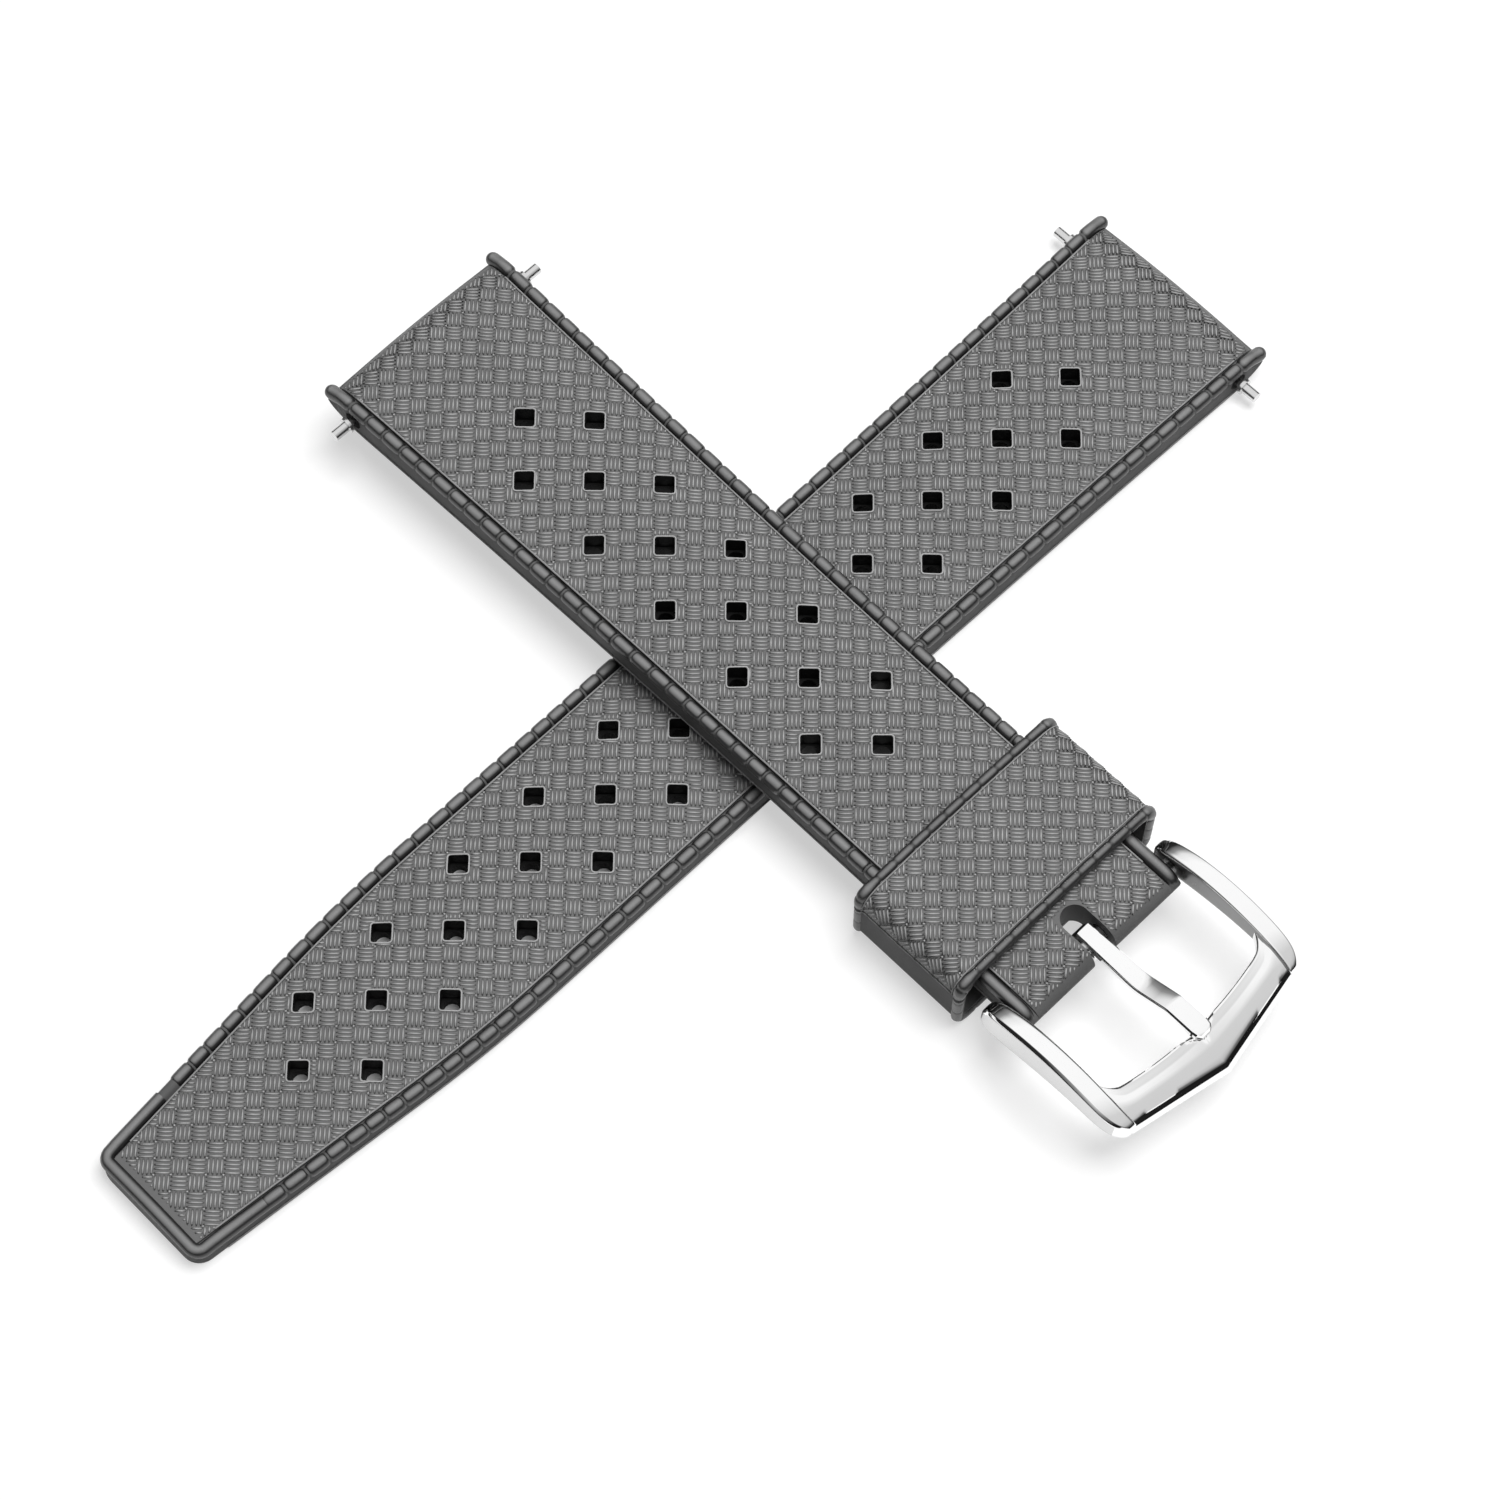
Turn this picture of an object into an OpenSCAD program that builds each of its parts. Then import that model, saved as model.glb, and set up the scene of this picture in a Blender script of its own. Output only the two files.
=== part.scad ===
// Moulded rubber watch strap in two halves, laid crosswise as for a catalogue picture.
// The tail half lies on the surface along Y. The buckle half lies across it along X.
// Both halves share one cross section: a crowned woven field between two edge beads.
// Origin: centre of the bottom of the whole object's box. Millimetres, +Z up.

/* [Strap halves] */
// Width of both halves where they meet the watch
lug_width = 20; // [19:0.5:24]
// Width of both halves past the flare, and of the strap end in the buckle
strap_width = 18; // [15:0.5:18.5]
// Length over which a half narrows from the watch end
flare_length = 65; // [40:1:75]
// Length of the tail half
tail_length = 120; // [112:1:135]
// Length of the buckle half from its watch end to the buckle's bar
buckle_half_length = 80; // [76:1:95]
// Thickness of both halves at the watch end
lug_thickness = 4.4; // [4:0.1:5.2]
// Thickness of the buckle half at the buckle's bar
bar_end_thickness = 3.5; // [3.3:0.1:4]
// Length over which the buckle half thins from the watch end
thinning_length = 50; // [40:1:60]
// Thickness of the tail half at its tip
tip_thickness = 2.6; // [2.2:0.1:3.4]
// Radius of the crowned top across the strap
crown_radius = 40; // [36:1:44]
// Diameter of the bead along the edges
bead_diameter = 1.2; // [0.8:0.1:1.5]
// Height of the bead above the edge of the field
bead_rise = 0.3; // [0.1:0.05:0.5]
// How far the side wall stands in from the bead
wall_inset = 0.15; // [0.05:0.05:0.3]

/* [Watch ends] */
// Length over which the top rolls down to the watch end
nose_top_length = 2.4; // [1.6:0.1:3]
// Length over which the underside rises to the watch end
nose_under_length = 4.5; // [3:0.1:7]
// Height of the foremost line of the watch end
nose_height = 1.9; // [1.4:0.1:2.2]

/* [Tail tip] */
// Width of the tail's blunt tip
tip_width = 12.2; // [9:0.2:15]
// Length over which the tail narrows to its tip
taper_length = 36; // [26:1:44]
// Length of the curve that starts the taper
taper_ease = 14; // [6:1:20]
// Radius of the tip's two corners
tip_corner_radius = 1.4; // [1.3:0.1:2.5]

/* [Vent holes] */
// Width of a square vent hole
hole_size = 1.7; // [1.3:0.05:2]
// Depth of the square part of a vent hole
hole_depth = 1.9; // [1.2:0.1:2]
// Diameter of the round opening below the square part
hole_floor_size = 1.45; // [0.9:0.05:1.6]
// Distance between holes in one row
hole_step = 8.5; // [7:0.1:8.8]
// Distance of the side rows from the middle row
hole_row_offset = 4.1; // [3:0.1:4.6]
// Distance of the first hole from the watch end
first_hole = 14.2; // [10:0.1:16]
// Middle holes in the buckle half
buckle_half_holes = 6; // [3:1:6]
// Middle holes in the tail's first group
tail_first_holes = 5; // [2:1:5]
// Middle holes in the tail's second group
tail_second_holes = 6; // [2:1:6]
// Distance between the tail's two groups of middle holes
hole_group_gap = 13; // [10:0.2:14]

/* [Spring bars] */
// Outer diameter of a spring bar's tube
bar_diameter = 1.5; // [1.3:0.05:1.6]
// Bore of a spring bar's tube
bar_bore = 1.1; // [0.96:0.02:1.16]
// Diameter of the tunnel that a tube lies in
tunnel_diameter = 1.7; // [1.65:0.01:1.8]
// Distance of the watch end's bar from the end of the strap
lug_bar_inset = 3; // [2.4:0.1:4]
// Height of the watch end's bar above the underside
lug_bar_height = 1.6; // [1.4:0.1:1.9]
// Height of the buckle's bar above the underside
buckle_bar_height = 1.55; // [1.5:0.05:1.65]
// Thickness of the crimped end of a tube
crimp_length = 0.4; // [0.3:0.05:0.6]
// Diameter of the neck that runs through the crimp
neck_diameter = 0.66; // [0.56:0.02:0.68]
// Radial clearance of a moving part of a bar
bar_clearance = 0.03; // [0.02:0.01:0.05]
// How far the tube's end lies inside the watch end's side
tube_recess = 0.7; // [0.4:0.1:1]
// How far the flange stands off the watch end's side
flange_standoff = 0.3; // [0.2:0.05:0.6]
// Thickness of the flange
flange_thickness = 0.3; // [0.2:0.05:0.5]
// Diameter of a tip that sits in the watch's lug
tip_diameter = 1; // [0.9:0.05:1.1]
// Length of a tip that sits in the watch's lug
tip_length = 1.4; // [1:0.1:1.8]
// Length of a plunger's head inside the tube
head_length = 2; // [1.2:0.1:3]
// Wire diameter of the spring in a bar
spring_wire = 0.14; // [0.1:0.01:0.18]
// Turns of the spring in a bar
spring_turns = 14; // [8:1:20]

/* [Keeper] */
// Length of the keeper along the strap
keeper_length = 12.1; // [8:0.1:12.5]
// Wall of the keeper between its rims
keeper_wall = 0.95; // [0.8:0.05:1.3]
// Side room between the keeper and the strap, both sides together
keeper_side_room = 3; // [1.8:0.1:3.2]
// How far the keeper has slipped to one side within that room
keeper_side_shift = 0.2; // [0:0.1:0.7]
// Distance of the keeper from the buckle's bar
keeper_setback = 3.5; // [3.3:0.1:8]
// How far the keeper can slide towards the watch end
keeper_travel = 11; // [4:0.5:11.5]
// Gap between the strap's crest and the keeper, where the strap is thickest
keeper_top_gap = 0.1; // [0.05:0.05:0.4]
// Gap between the keeper and the surface that the strap lies on
keeper_floor_gap = 0.1; // [0.05:0.05:0.4]
// Radius of the keeper's crowned top
keeper_crown_radius = 120; // [100:5:200]
// Radius of the keeper's upper corners
keeper_corner_radius = 1.9; // [1.6:0.1:2.2]
// Radius of the keeper's lower corners
keeper_foot_radius = 1.5; // [1.2:0.1:2.2]
// Width of the rim at each end of the keeper
keeper_rim_width = 1.1; // [0.6:0.1:1.6]
// How far the rim stands out of the keeper
keeper_rim_rise = 0.2; // [0.1:0.05:0.4]

/* [Buckle] */
// Gap between the strap's end and each arm of the buckle
arm_gap = 0.15; // [0.1:0.05:0.4]
// Width of an arm at its widest
arm_width = 2.1; // [1.7:0.1:2.8]
// Height of an arm at its highest
arm_height = 3.4; // [3:0.1:3.8]
// How far an arm reaches behind the bar
arm_back = 1.95; // [1.7:0.05:2]
// Distance of the buckle's point from its bar
buckle_reach = 15.3; // [14.6:0.1:18]
// Depth of the front plate from its hollow inner edge to the point
plate_depth = 4; // [3.4:0.1:4.4]
// How far the front plate's corners stand back from its point
plate_point = 1.7; // [0.8:0.1:2]
// How far the plate's inner edge is hollowed
plate_hollow = 1.15; // [0.5:0.05:1.3]
// Radius of the arch that the buckle follows from its bar to its point
arch_radius = 21; // [20:1:60]
// Height of the top of that arch above the bar
arch_rise = 1.75; // [1.4:0.05:1.9]
// Distance of the top of the arch from the bar
arch_middle = 6.5; // [5.5:0.1:7]
// Height of the plate's inner edge above the arch
plate_inner_height = 0.75; // [0.6:0.05:0.9]
// Height of the plate's outer edge above the arch
plate_outer_height = 0.45; // [0.3:0.05:0.6]
// Depth of the plate's underside below the arch
plate_depth_below = 0.85; // [0.7:0.05:1.1]
// Radius that rounds the buckle's edges
buckle_edge = 0.35; // [0.2:0.05:0.4]
// Width of the rest that is cut in the plate for the tang
rest_width = 3; // [2.2:0.1:3.6]
// Depth of the blind holes that take the bar's plungers
arm_hole_depth = 1.15; // [0.9:0.05:1.3]
// Radial clearance between a plunger and its hole
arm_hole_clearance = 0.05; // [0.03:0.01:0.08]

/* [Tang] */
// Width of the tang
tang_width = 1.8; // [1.4:0.1:2.2]
// Thickness of the tang
tang_thickness = 0.85; // [0.6:0.05:1]
// Wall of the loop round the bar
tang_loop_wall = 0.6; // [0.45:0.05:0.7]
// Radial clearance of the loop on the bar
tang_clearance = 0.05; // [0.03:0.01:0.1]
// Distance of the tang's tip from the bar
tang_reach = 12.4; // [12:0.1:13]
// Gap between the tang and the front plate
tang_gap = 0.08; // [0.05:0.01:0.15]
// Side room between the tang and the strap's slot, each side
slot_room = 0.35; // [0.2:0.05:0.5]
// Distance of the slot's root from the bar
slot_depth = 3; // [2.2:0.1:3.4]

/* [Lay] */
// Distance of the crossing from the watch end of the tail half
tail_cross = 51.7; // [48:0.1:54]
// Distance of the crossing from the watch end of the buckle half
buckle_half_cross = 42.6; // [36:0.1:43]
// Gap between the two halves where they cross
cross_gap = 0.1; // [0.05:0.05:0.3]

/* [Hidden] */

RUBBER = [0.42, 0.42, 0.42];
STEEL = [0.82, 0.83, 0.84];
SPRING_STEEL = [0.62, 0.62, 0.6];

bead_radius = bead_diameter / 2;
bar_radius = bar_diameter / 2;
tunnel_radius = tunnel_diameter / 2;
neck_radius = neck_diameter / 2;

// Outline of a half: half its width at a distance u from the watch end

function flare(u) = u < flare_length ? (lug_width - strap_width) / 2 * (1 - u / flare_length)^2 : 0;

function half_width(u) = strap_width / 2 + flare(u);

taper_start = tail_length - taper_length;
taper_slope = (strap_width - tip_width) / 2 / (taper_length - taper_ease / 2);

function taper(v) = v < 0 ? 0 : v < taper_ease ? taper_slope * v^2 / (2 * taper_ease)
                              : taper_slope * (v - taper_ease / 2);

function corner_cut(v) = v < 0 ? 0 : tip_corner_radius - sqrt(max(0, tip_corner_radius^2 - v^2));

function tail_half_width(u) = half_width(u) - taper(u - taper_start)
                              - corner_cut(u - tail_length + tip_corner_radius);

// Thickness at the crest

function tail_thickness(u) = lug_thickness + (tip_thickness - lug_thickness) * u / tail_length;

function buckle_thickness(u) = lug_thickness
                               + (bar_end_thickness - lug_thickness) * min(u / thinning_length, 1);

// Cross section of a half

function crown_drop(y) = crown_radius - sqrt(crown_radius^2 - y^2);

function bead_centre(w, t) = t - crown_drop(w - bead_diameter) + bead_rise - bead_radius;

BEAD_ANGLES = [-40, 0, 40, 80, 120, 155];
FIELD_SHARES = [1, 0.78, 0.52, 0.26];
field_margin = 0.1;

function half_section(w, t) = concat(
    [[w - wall_inset, 0]],
    [for (a = BEAD_ANGLES) [w - bead_radius + bead_radius * cos(a), bead_centre(w, t) + bead_radius * sin(a)]],
    [for (k = FIELD_SHARES) let (y = k * (w - bead_diameter - field_margin)) [y, t - crown_drop(y)]]);

function underside(w) = let (m = w - bead_diameter - field_margin, n = len(FIELD_SHARES))
    concat([for (k = FIELD_SHARES) [k * m, 0]], [[0, 0]],
           [for (i = [n - 1:-1:0]) [-FIELD_SHARES[i] * m, 0]]);

// The full section runs up one side, over the crest, down the other side and back underneath
function full_section(w, t) = let (side = half_section(w, t), n = len(side))
    concat([for (p = side) [-p[0], p[1]]], [[0, t]], [for (i = [n - 1:-1:0]) side[i]], underside(w));

// A section's end face: a quad under each stretch of the field and one face for each bead
SIDE_POINTS = 1 + len(BEAD_ANGLES);
LAST_POINT = 2 * SIDE_POINTS + 4 * len(FIELD_SHARES) + 1;
SECTION_FACES = concat(
    [[for (i = [0:SIDE_POINTS]) i, LAST_POINT]],
    [for (k = [0:2 * len(FIELD_SHARES) - 1]) let (i = SIDE_POINTS + k, j = LAST_POINT - k) [i, i + 1, j - 1, j]],
    [[for (i = [0:SIDE_POINTS + 1]) SIDE_POINTS + 2 * len(FIELD_SHARES) + i]]);

// Share of its height that a rounded end has at a distance v behind its foremost line
function end_round(v, length) = v < length ? sqrt(max(0.015, 1 - (1 - v / length)^2)) : 1;

function squeeze(z, mid, above, below) = z > mid ? mid + (z - mid) * above : mid - (mid - z) * below;

// Height of the bead that closes the tip, at a distance v behind the front edge
function front_bead(v, y, t) = t - crown_drop(y) + bead_rise - bead_radius
                               + bead_radius * sqrt(max(0.015, 1 - (1 - v / bead_radius)^2));

// The side beads shrink into the front bead over its front half
function tip_height(z, v, y, w, t) = let (c = bead_centre(w, t), shrink = end_round(v, bead_radius),
                                          side = v < bead_radius ? c + (z - c) * shrink : z)
    v >= bead_diameter || z <= 0 ? z
    : abs(y) > w - bead_radius ? side : max(side, front_bead(v, y, t));

function tail_section(u) = let (t = tail_thickness(u), w = tail_half_width(u))
    [for (p = full_section(w, t))
        [u, p[0], squeeze(tip_height(p[1], tail_length - u, p[0], w, t), nose_height,
                          end_round(u, nose_top_length), end_round(u, nose_under_length))]];

bar_end_length = bar_end_thickness / 2;
buckle_half_end = buckle_half_length + bar_end_length;

function buckle_section(u) = let (t = buckle_thickness(u), at_bar = u > buckle_half_length,
                                  roll = end_round(buckle_half_end - u, bar_end_length))
    [for (p = full_section(half_width(u), t))
        [u, p[0], squeeze(p[1], at_bar ? bar_end_length : nose_height,
                          at_bar ? roll : end_round(u, nose_top_length),
                          at_bar ? roll : end_round(u, nose_under_length))]];

NOSE_SHARES = [0, 0.03, 0.12, 0.3, 0.6];
FLARE_SHARES = [0.12, 0.22, 0.36, 0.5, 0.68, 0.84, 1];
nose_stations = concat([for (k = NOSE_SHARES) k * nose_top_length], [nose_top_length, nose_under_length]);
flare_stations = [for (k = FLARE_SHARES) k * flare_length];
tail_stations = concat(nose_stations, flare_stations, [taper_start],
    [for (k = [1:4]) taper_start + k * taper_ease / 4],
    [for (v = [tip_corner_radius, bead_diameter, 1.5 * bead_radius, bead_radius,
               0.5 * bead_radius, 0.15 * bead_radius, 0]) tail_length - v]);
buckle_stations = concat(nose_stations, flare_stations, [buckle_half_length],
    [for (k = [0.25, 0.5, 0.72, 0.88, 0.97, 1]) buckle_half_length + k * bar_end_length]);

// Skin over a row of sections that all have the same number of points
module skin(sections, faces = undef) {
    n = len(sections[0]);
    m = len(sections);
    points = [for (s = sections) each s];
    walls = [for (j = [0:m - 2], i = [0:n - 1]) let (a = j * n + i, b = j * n + (i + 1) % n)
        each [[a, b, b + n], [a, b + n, a + n]]];
    cap = is_undef(faces) ? [[for (i = [0:n - 1]) i]] : faces;
    ends = concat([for (f = cap) [for (i = [len(f) - 1:-1:0]) f[i]]],
                  [for (f = cap) [for (i = f) (m - 1) * n + i]]);
    polyhedron(points, concat(walls, ends), convexity = 6);
}

// A hole stands on its corner, as the weave does, and is round in its lower part
module vent_hole(u, y, t) {
    translate([u, y, t - crown_drop(y) - hole_depth]) {
        rotate(45) translate([-hole_size / 2, -hole_size / 2, 0]) cube([hole_size, hole_size, hole_depth + 1]);
        translate([0, 0, -lug_thickness]) cylinder(d = hole_floor_size, h = lug_thickness + hole_depth / 2, $fn = 24);
    }
}

// Middle holes and, half a step between them, the two side rows, in the tail or in the buckle half
module hole_group(start, count, tail) {
    row = [for (i = [0:count - 1]) [start + i * hole_step, 0]];
    sides = [for (i = [0:count - 2], side = [-1, 1]) [start + (i + 0.5) * hole_step, side * hole_row_offset]];
    for (h = concat(row, sides)) vent_hole(h[0], h[1], tail ? tail_thickness(h[0]) : buckle_thickness(h[0]));
}

module cross_bore(u, z, r, length) {
    translate([u, 0, z]) rotate([90, 0, 0]) cylinder(r = r, h = length, center = true, $fn = 48);
}

bore_overrun = 2;

// Places of the two halves

tail_box = [tail_cross - tail_length, tail_cross];
buckle_box = [-buckle_half_cross, buckle_half_length - buckle_half_cross + buckle_reach];
cross_x = -(buckle_box[0] + buckle_box[1]) / 2;
cross_y = -(tail_box[0] + tail_box[1]) / 2;
buckle_half_z = tail_thickness(tail_cross - half_width(buckle_half_cross)) + cross_gap;

module at_tail() {
    translate([cross_x, cross_y + tail_cross, 0]) rotate(-90) children();
}

module at_buckle_half() {
    translate([cross_x - buckle_half_cross, cross_y, buckle_half_z]) children();
}

// The buckle's own frame has its origin on the bar and +X towards the point
module at_bar() {
    at_buckle_half() translate([buckle_half_length, 0, buckle_bar_height]) children();
}

module tail_strap() {
    second_group = first_hole + (tail_first_holes - 1) * hole_step + hole_group_gap;
    color(RUBBER) at_tail() difference() {
        skin([for (u = tail_stations) tail_section(u)], SECTION_FACES);
        cross_bore(lug_bar_inset, lug_bar_height, tunnel_radius, lug_width + bore_overrun);
        hole_group(first_hole, tail_first_holes, true);
        hole_group(second_group, tail_second_holes, true);
    }
}

slot_width = tang_width + 2 * slot_room;

module buckle_strap() {
    slot_root = buckle_half_length - slot_depth + slot_width / 2;
    color(RUBBER) at_buckle_half() difference() {
        skin([for (u = buckle_stations) buckle_section(u)], SECTION_FACES);
        cross_bore(lug_bar_inset, lug_bar_height, tunnel_radius, lug_width + bore_overrun);
        cross_bore(buckle_half_length, buckle_bar_height, tunnel_radius, strap_width + bore_overrun);
        hole_group(first_hole, buckle_half_holes, false);
        translate([slot_root, 0, -1]) cylinder(d = slot_width, h = lug_thickness + 2, $fn = 48);
        translate([slot_root, -slot_width / 2, -1])
            cube([buckle_half_end, slot_width, lug_thickness + 2]);
    }
}

// Spring bars: built along Y from the middle of the bar

head_radius = bar_bore / 2 - bar_clearance;
crimp_radius = neck_radius + bar_clearance;
lug_tube_half = half_width(lug_bar_inset) - tube_recess;
lug_neck_end = half_width(lug_bar_inset) + flange_standoff;
buckle_tube_half = strap_width / 2 - 0.1;
head_play = 0.02;

module along_y(y, side = 1) {
    translate([0, side * y, 0]) rotate([side > 0 ? -90 : 90, 0, 0]) children();
}

module bar_tube(half) {
    color(STEEL) difference() {
        cross_bore(0, 0, bar_radius, 2 * half);
        cross_bore(0, 0, bar_bore / 2, 2 * (half - crimp_length));
        cross_bore(0, 0, crimp_radius, 2 * half + bore_overrun);
    }
}

function head_inner_end(half) = half - crimp_length - head_play - head_length;

module plunger_head(half) {
    along_y(head_inner_end(half)) cylinder(r = head_radius, h = head_length, $fn = 32);
}

// Plunger with a flange and a tip for the watch's lug
module lug_plunger(side) {
    root = lug_tube_half - crimp_length - head_play;
    color(STEEL) mirror([0, side > 0 ? 0 : 1, 0]) union() {
        plunger_head(lug_tube_half);
        along_y(root) cylinder(r = neck_radius, h = lug_neck_end - root, $fn = 32);
        along_y(lug_neck_end) cylinder(r = bar_radius, h = flange_thickness, $fn = 48);
        along_y(lug_neck_end + flange_thickness) cylinder(d = tip_diameter, h = tip_length, $fn = 48);
    }
}

// Plunger with a plain tip that sits in the buckle's arm
module buckle_plunger(side) {
    root = buckle_tube_half - crimp_length - head_play;
    tip = strap_width / 2 + arm_gap + arm_hole_depth - 0.1;
    color(STEEL) mirror([0, side > 0 ? 0 : 1, 0]) union() {
        plunger_head(buckle_tube_half);
        along_y(root) cylinder(r = neck_radius, h = tip - root, $fn = 32);
    }
}

// Coil along Y between the heads of two plungers
SPRING_STEPS = 8;
SPRING_SIDES = 4;

module bar_spring(half) {
    wire = spring_wire / 2;
    ring = head_radius - wire - 0.04;
    run = 2 * (head_inner_end(half) - wire - 0.02);
    steps = spring_turns * SPRING_STEPS;
    color(SPRING_STEEL) skin([for (i = [0:steps])
        let (a = 360 * i / SPRING_STEPS, y = run * (i / steps - 0.5))
        [for (k = [0:SPRING_SIDES - 1]) let (b = -360 * (k + 0.5) / SPRING_SIDES, r = ring + wire * cos(b))
            [r * cos(a), y + wire * sin(b), r * sin(a)]]]);
}

module at_tail_bar() {
    at_tail() translate([lug_bar_inset, 0, lug_bar_height]) children();
}

module at_lug_bar() {
    at_buckle_half() translate([lug_bar_inset, 0, lug_bar_height]) children();
}

// Keeper: an outline across the strap, drawn out along it

keeper_inner_half = (strap_width + keeper_side_room) / 2;
keeper_end = buckle_half_length - keeper_setback;
keeper_start = keeper_end - keeper_length;
keeper_low = keeper_floor_gap + keeper_rim_rise - buckle_half_z;
keeper_far = keeper_start - keeper_travel;
keeper_far_half = half_width(keeper_far);
keeper_far_bead = bead_centre(keeper_far_half, buckle_thickness(keeper_far)) + bead_radius;

function keeper_drop(y) = keeper_crown_radius - sqrt(keeper_crown_radius^2 - y^2);

// The keeper clears the strap's crest and the tops of its beads
keeper_high = keeper_top_gap + keeper_wall
    + max(buckle_thickness(keeper_far),
          keeper_far_bead + keeper_drop(keeper_far_half - bead_radius + keeper_side_shift));

function turn(c, r, from, to, n) = [for (i = [0:n]) let (a = from + (to - from) * i / n)
    [c[0] + r * cos(a), c[1] + r * sin(a)]];

// Closed outline, grown outwards by g from the keeper's outer face
function keeper_outline(g) = let (
    half = keeper_inner_half + keeper_wall + g,
    top_r = keeper_crown_radius + keeper_wall + g,
    corner = keeper_corner_radius + g,
    foot = keeper_foot_radius + g,
    low = keeper_low - g,
    top_c = keeper_high + g - top_r,
    y = half - corner,
    z = top_c + sqrt((top_r - corner)^2 - y^2),
    lean = atan2(z - top_c, y),
    right = concat(turn([half - foot, low + foot], foot, -90, 0, 6),
                   turn([y, z], corner, 0, lean, 6),
                   turn([0, top_c], top_r, lean, 90, 8)),
    n = len(right))
    concat(right, [for (i = [n - 2:-1:0]) [-right[i][0], right[i][1]]]);

module keeper_slice(g, start, length) {
    translate([start, 0, 0]) rotate([90, 0, 90]) linear_extrude(length) polygon(keeper_outline(g));
}

module keeper() {
    color(RUBBER) at_buckle_half() translate([0, keeper_side_shift, 0]) difference() {
        union() {
            keeper_slice(0, keeper_start, keeper_length);
            keeper_slice(keeper_rim_rise, keeper_start, keeper_rim_width);
            keeper_slice(keeper_rim_rise, keeper_end - keeper_rim_width, keeper_rim_width);
        }
        keeper_slice(-keeper_wall, keeper_start - 1, keeper_length + 2);
    }
}

// Buckle frame: sections from the end of one arm, round the front plate, to the other end.
// Each station holds the inner point, the outer point, and the heights at the inner edge, the
// middle, the outer edge and the underside.

arm_in = strap_width / 2 + arm_gap;
arm_out = arm_in + arm_width;
arm_top = arm_height / 2;
arm_shoulder = arm_top / 20;
plate_in = buckle_reach - plate_depth;
plate_corner = buckle_reach - plate_point;
plate_crest = (plate_inner_height + plate_outer_height) / 2 + plate_inner_height / 8;

ARM_HEIGHTS = [arm_top - arm_shoulder, arm_top, arm_top - arm_shoulder, -arm_top];
PLATE_HEIGHTS = [plate_inner_height, plate_crest, plate_outer_height, -plate_depth_below];

ARM_ROWS = [
    // share of the arm's reach behind the bar, shares of its width, its top height and its bottom height
    [1, 0.55, 0.3, 0.45],
    [0.82, 0.75, 0.62, 0.75],
    [0.41, 0.9, 0.86, 0.95],
    [-0.31, 0.96, 0.95, 1],
    [-1.3, 1, 1.02, 1],
    [-2.7, 1, 0.98, 0.9]];

CORNER_ROWS = [
    // shares of the plate's depth behind its inner edge and behind its corner, shares of the arm's
    // width inside its inner and its outer side, share of the way from the arm's heights to the plate's
    [0.825, 0, 1.325, 0, 0.4],
    [0.475, 0.07, 0.525, 0.07, 0.65],
    [0.3, 0.357, 0.163, 0.286, 0.85],
    [0.19, 0.88, 0.013, 0.93, 1]];

function arm_station(r) = [[-arm_back * r[0], arm_in], [-arm_back * r[0], arm_in + arm_width * r[1]],
    [for (i = [0:3]) ARM_HEIGHTS[i] * r[i < 3 ? 2 : 3]]];

function corner_station(r) = [[plate_in - plate_depth * r[0], arm_in - arm_width * r[1]],
    [plate_corner - plate_depth * r[2], arm_out - arm_width * r[3]],
    (1 - r[4]) * ARM_HEIGHTS + r[4] * PLATE_HEIGHTS];

function plate_inner(y) = plate_in - plate_hollow * (y / arm_in)^2;
function plate_outer(y) = buckle_reach - plate_point * y / arm_in;

function plate_station(yi, yo) = [[plate_inner(yi), yi], [plate_outer(yo), yo], PLATE_HEIGHTS];

half_frame = concat([for (r = ARM_ROWS) arm_station(r)], [for (r = CORNER_ROWS) corner_station(r)],
                    [plate_station(arm_in * 0.5, arm_in * 0.55), plate_station(arm_in * 0.2, arm_in * 0.2)]);

// The arch that all sections follow
function arch(x) = arch_rise - arch_radius + sqrt(arch_radius^2 - (x - arch_middle)^2);

function across(s) = [[s[0][0], -s[0][1]], [s[1][0], -s[1][1]], s[2]];

frame_stations = concat(half_frame, [plate_station(0, 0)],
                        [for (i = [len(half_frame) - 1:-1:0]) across(half_frame[i])]);

function frame_section(s) = let (
    d = s[1] - s[0], run = norm(d), e = buckle_edge, h = s[2],
    bow = [[e, h[3]], [0, h[3] + e], [0, h[0] - e], [e, h[0]], [run / 2, h[1]],
           [run - e, h[2]], [run, h[2] - e], [run, h[3] + e], [run - e, h[3]]])
    [for (b = bow) let (x = s[0][0] + d[0] * b[0] / run, y = s[0][1] + d[1] * b[0] / run)
        [x, y, arch(x) + b[1]]];

rest_length = 0.5 * plate_depth;
plate_top = arch(plate_in) + plate_inner_height;

module buckle_frame() {
    color(STEEL) at_bar() difference() {
        skin([for (s = frame_stations) frame_section(s)]);
        for (side = [-1, 1])
            along_y(arm_in - 1, side)
                cylinder(r = neck_radius + arm_hole_clearance, h = arm_hole_depth + 1, $fn = 32);
        translate([plate_in - 1, 0, plate_top + rest_width / 4])
            rotate([0, 25, 0]) scale([1, 1, 0.5]) rotate([45, 0, 0])
                translate([0, -rest_width / 2.9, -rest_width / 2.9])
                    cube([rest_length, rest_width / 1.45, rest_width / 1.45]);
    }
}

// Tang: a side profile with a loop round the bar, as wide as the tang all along

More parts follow.
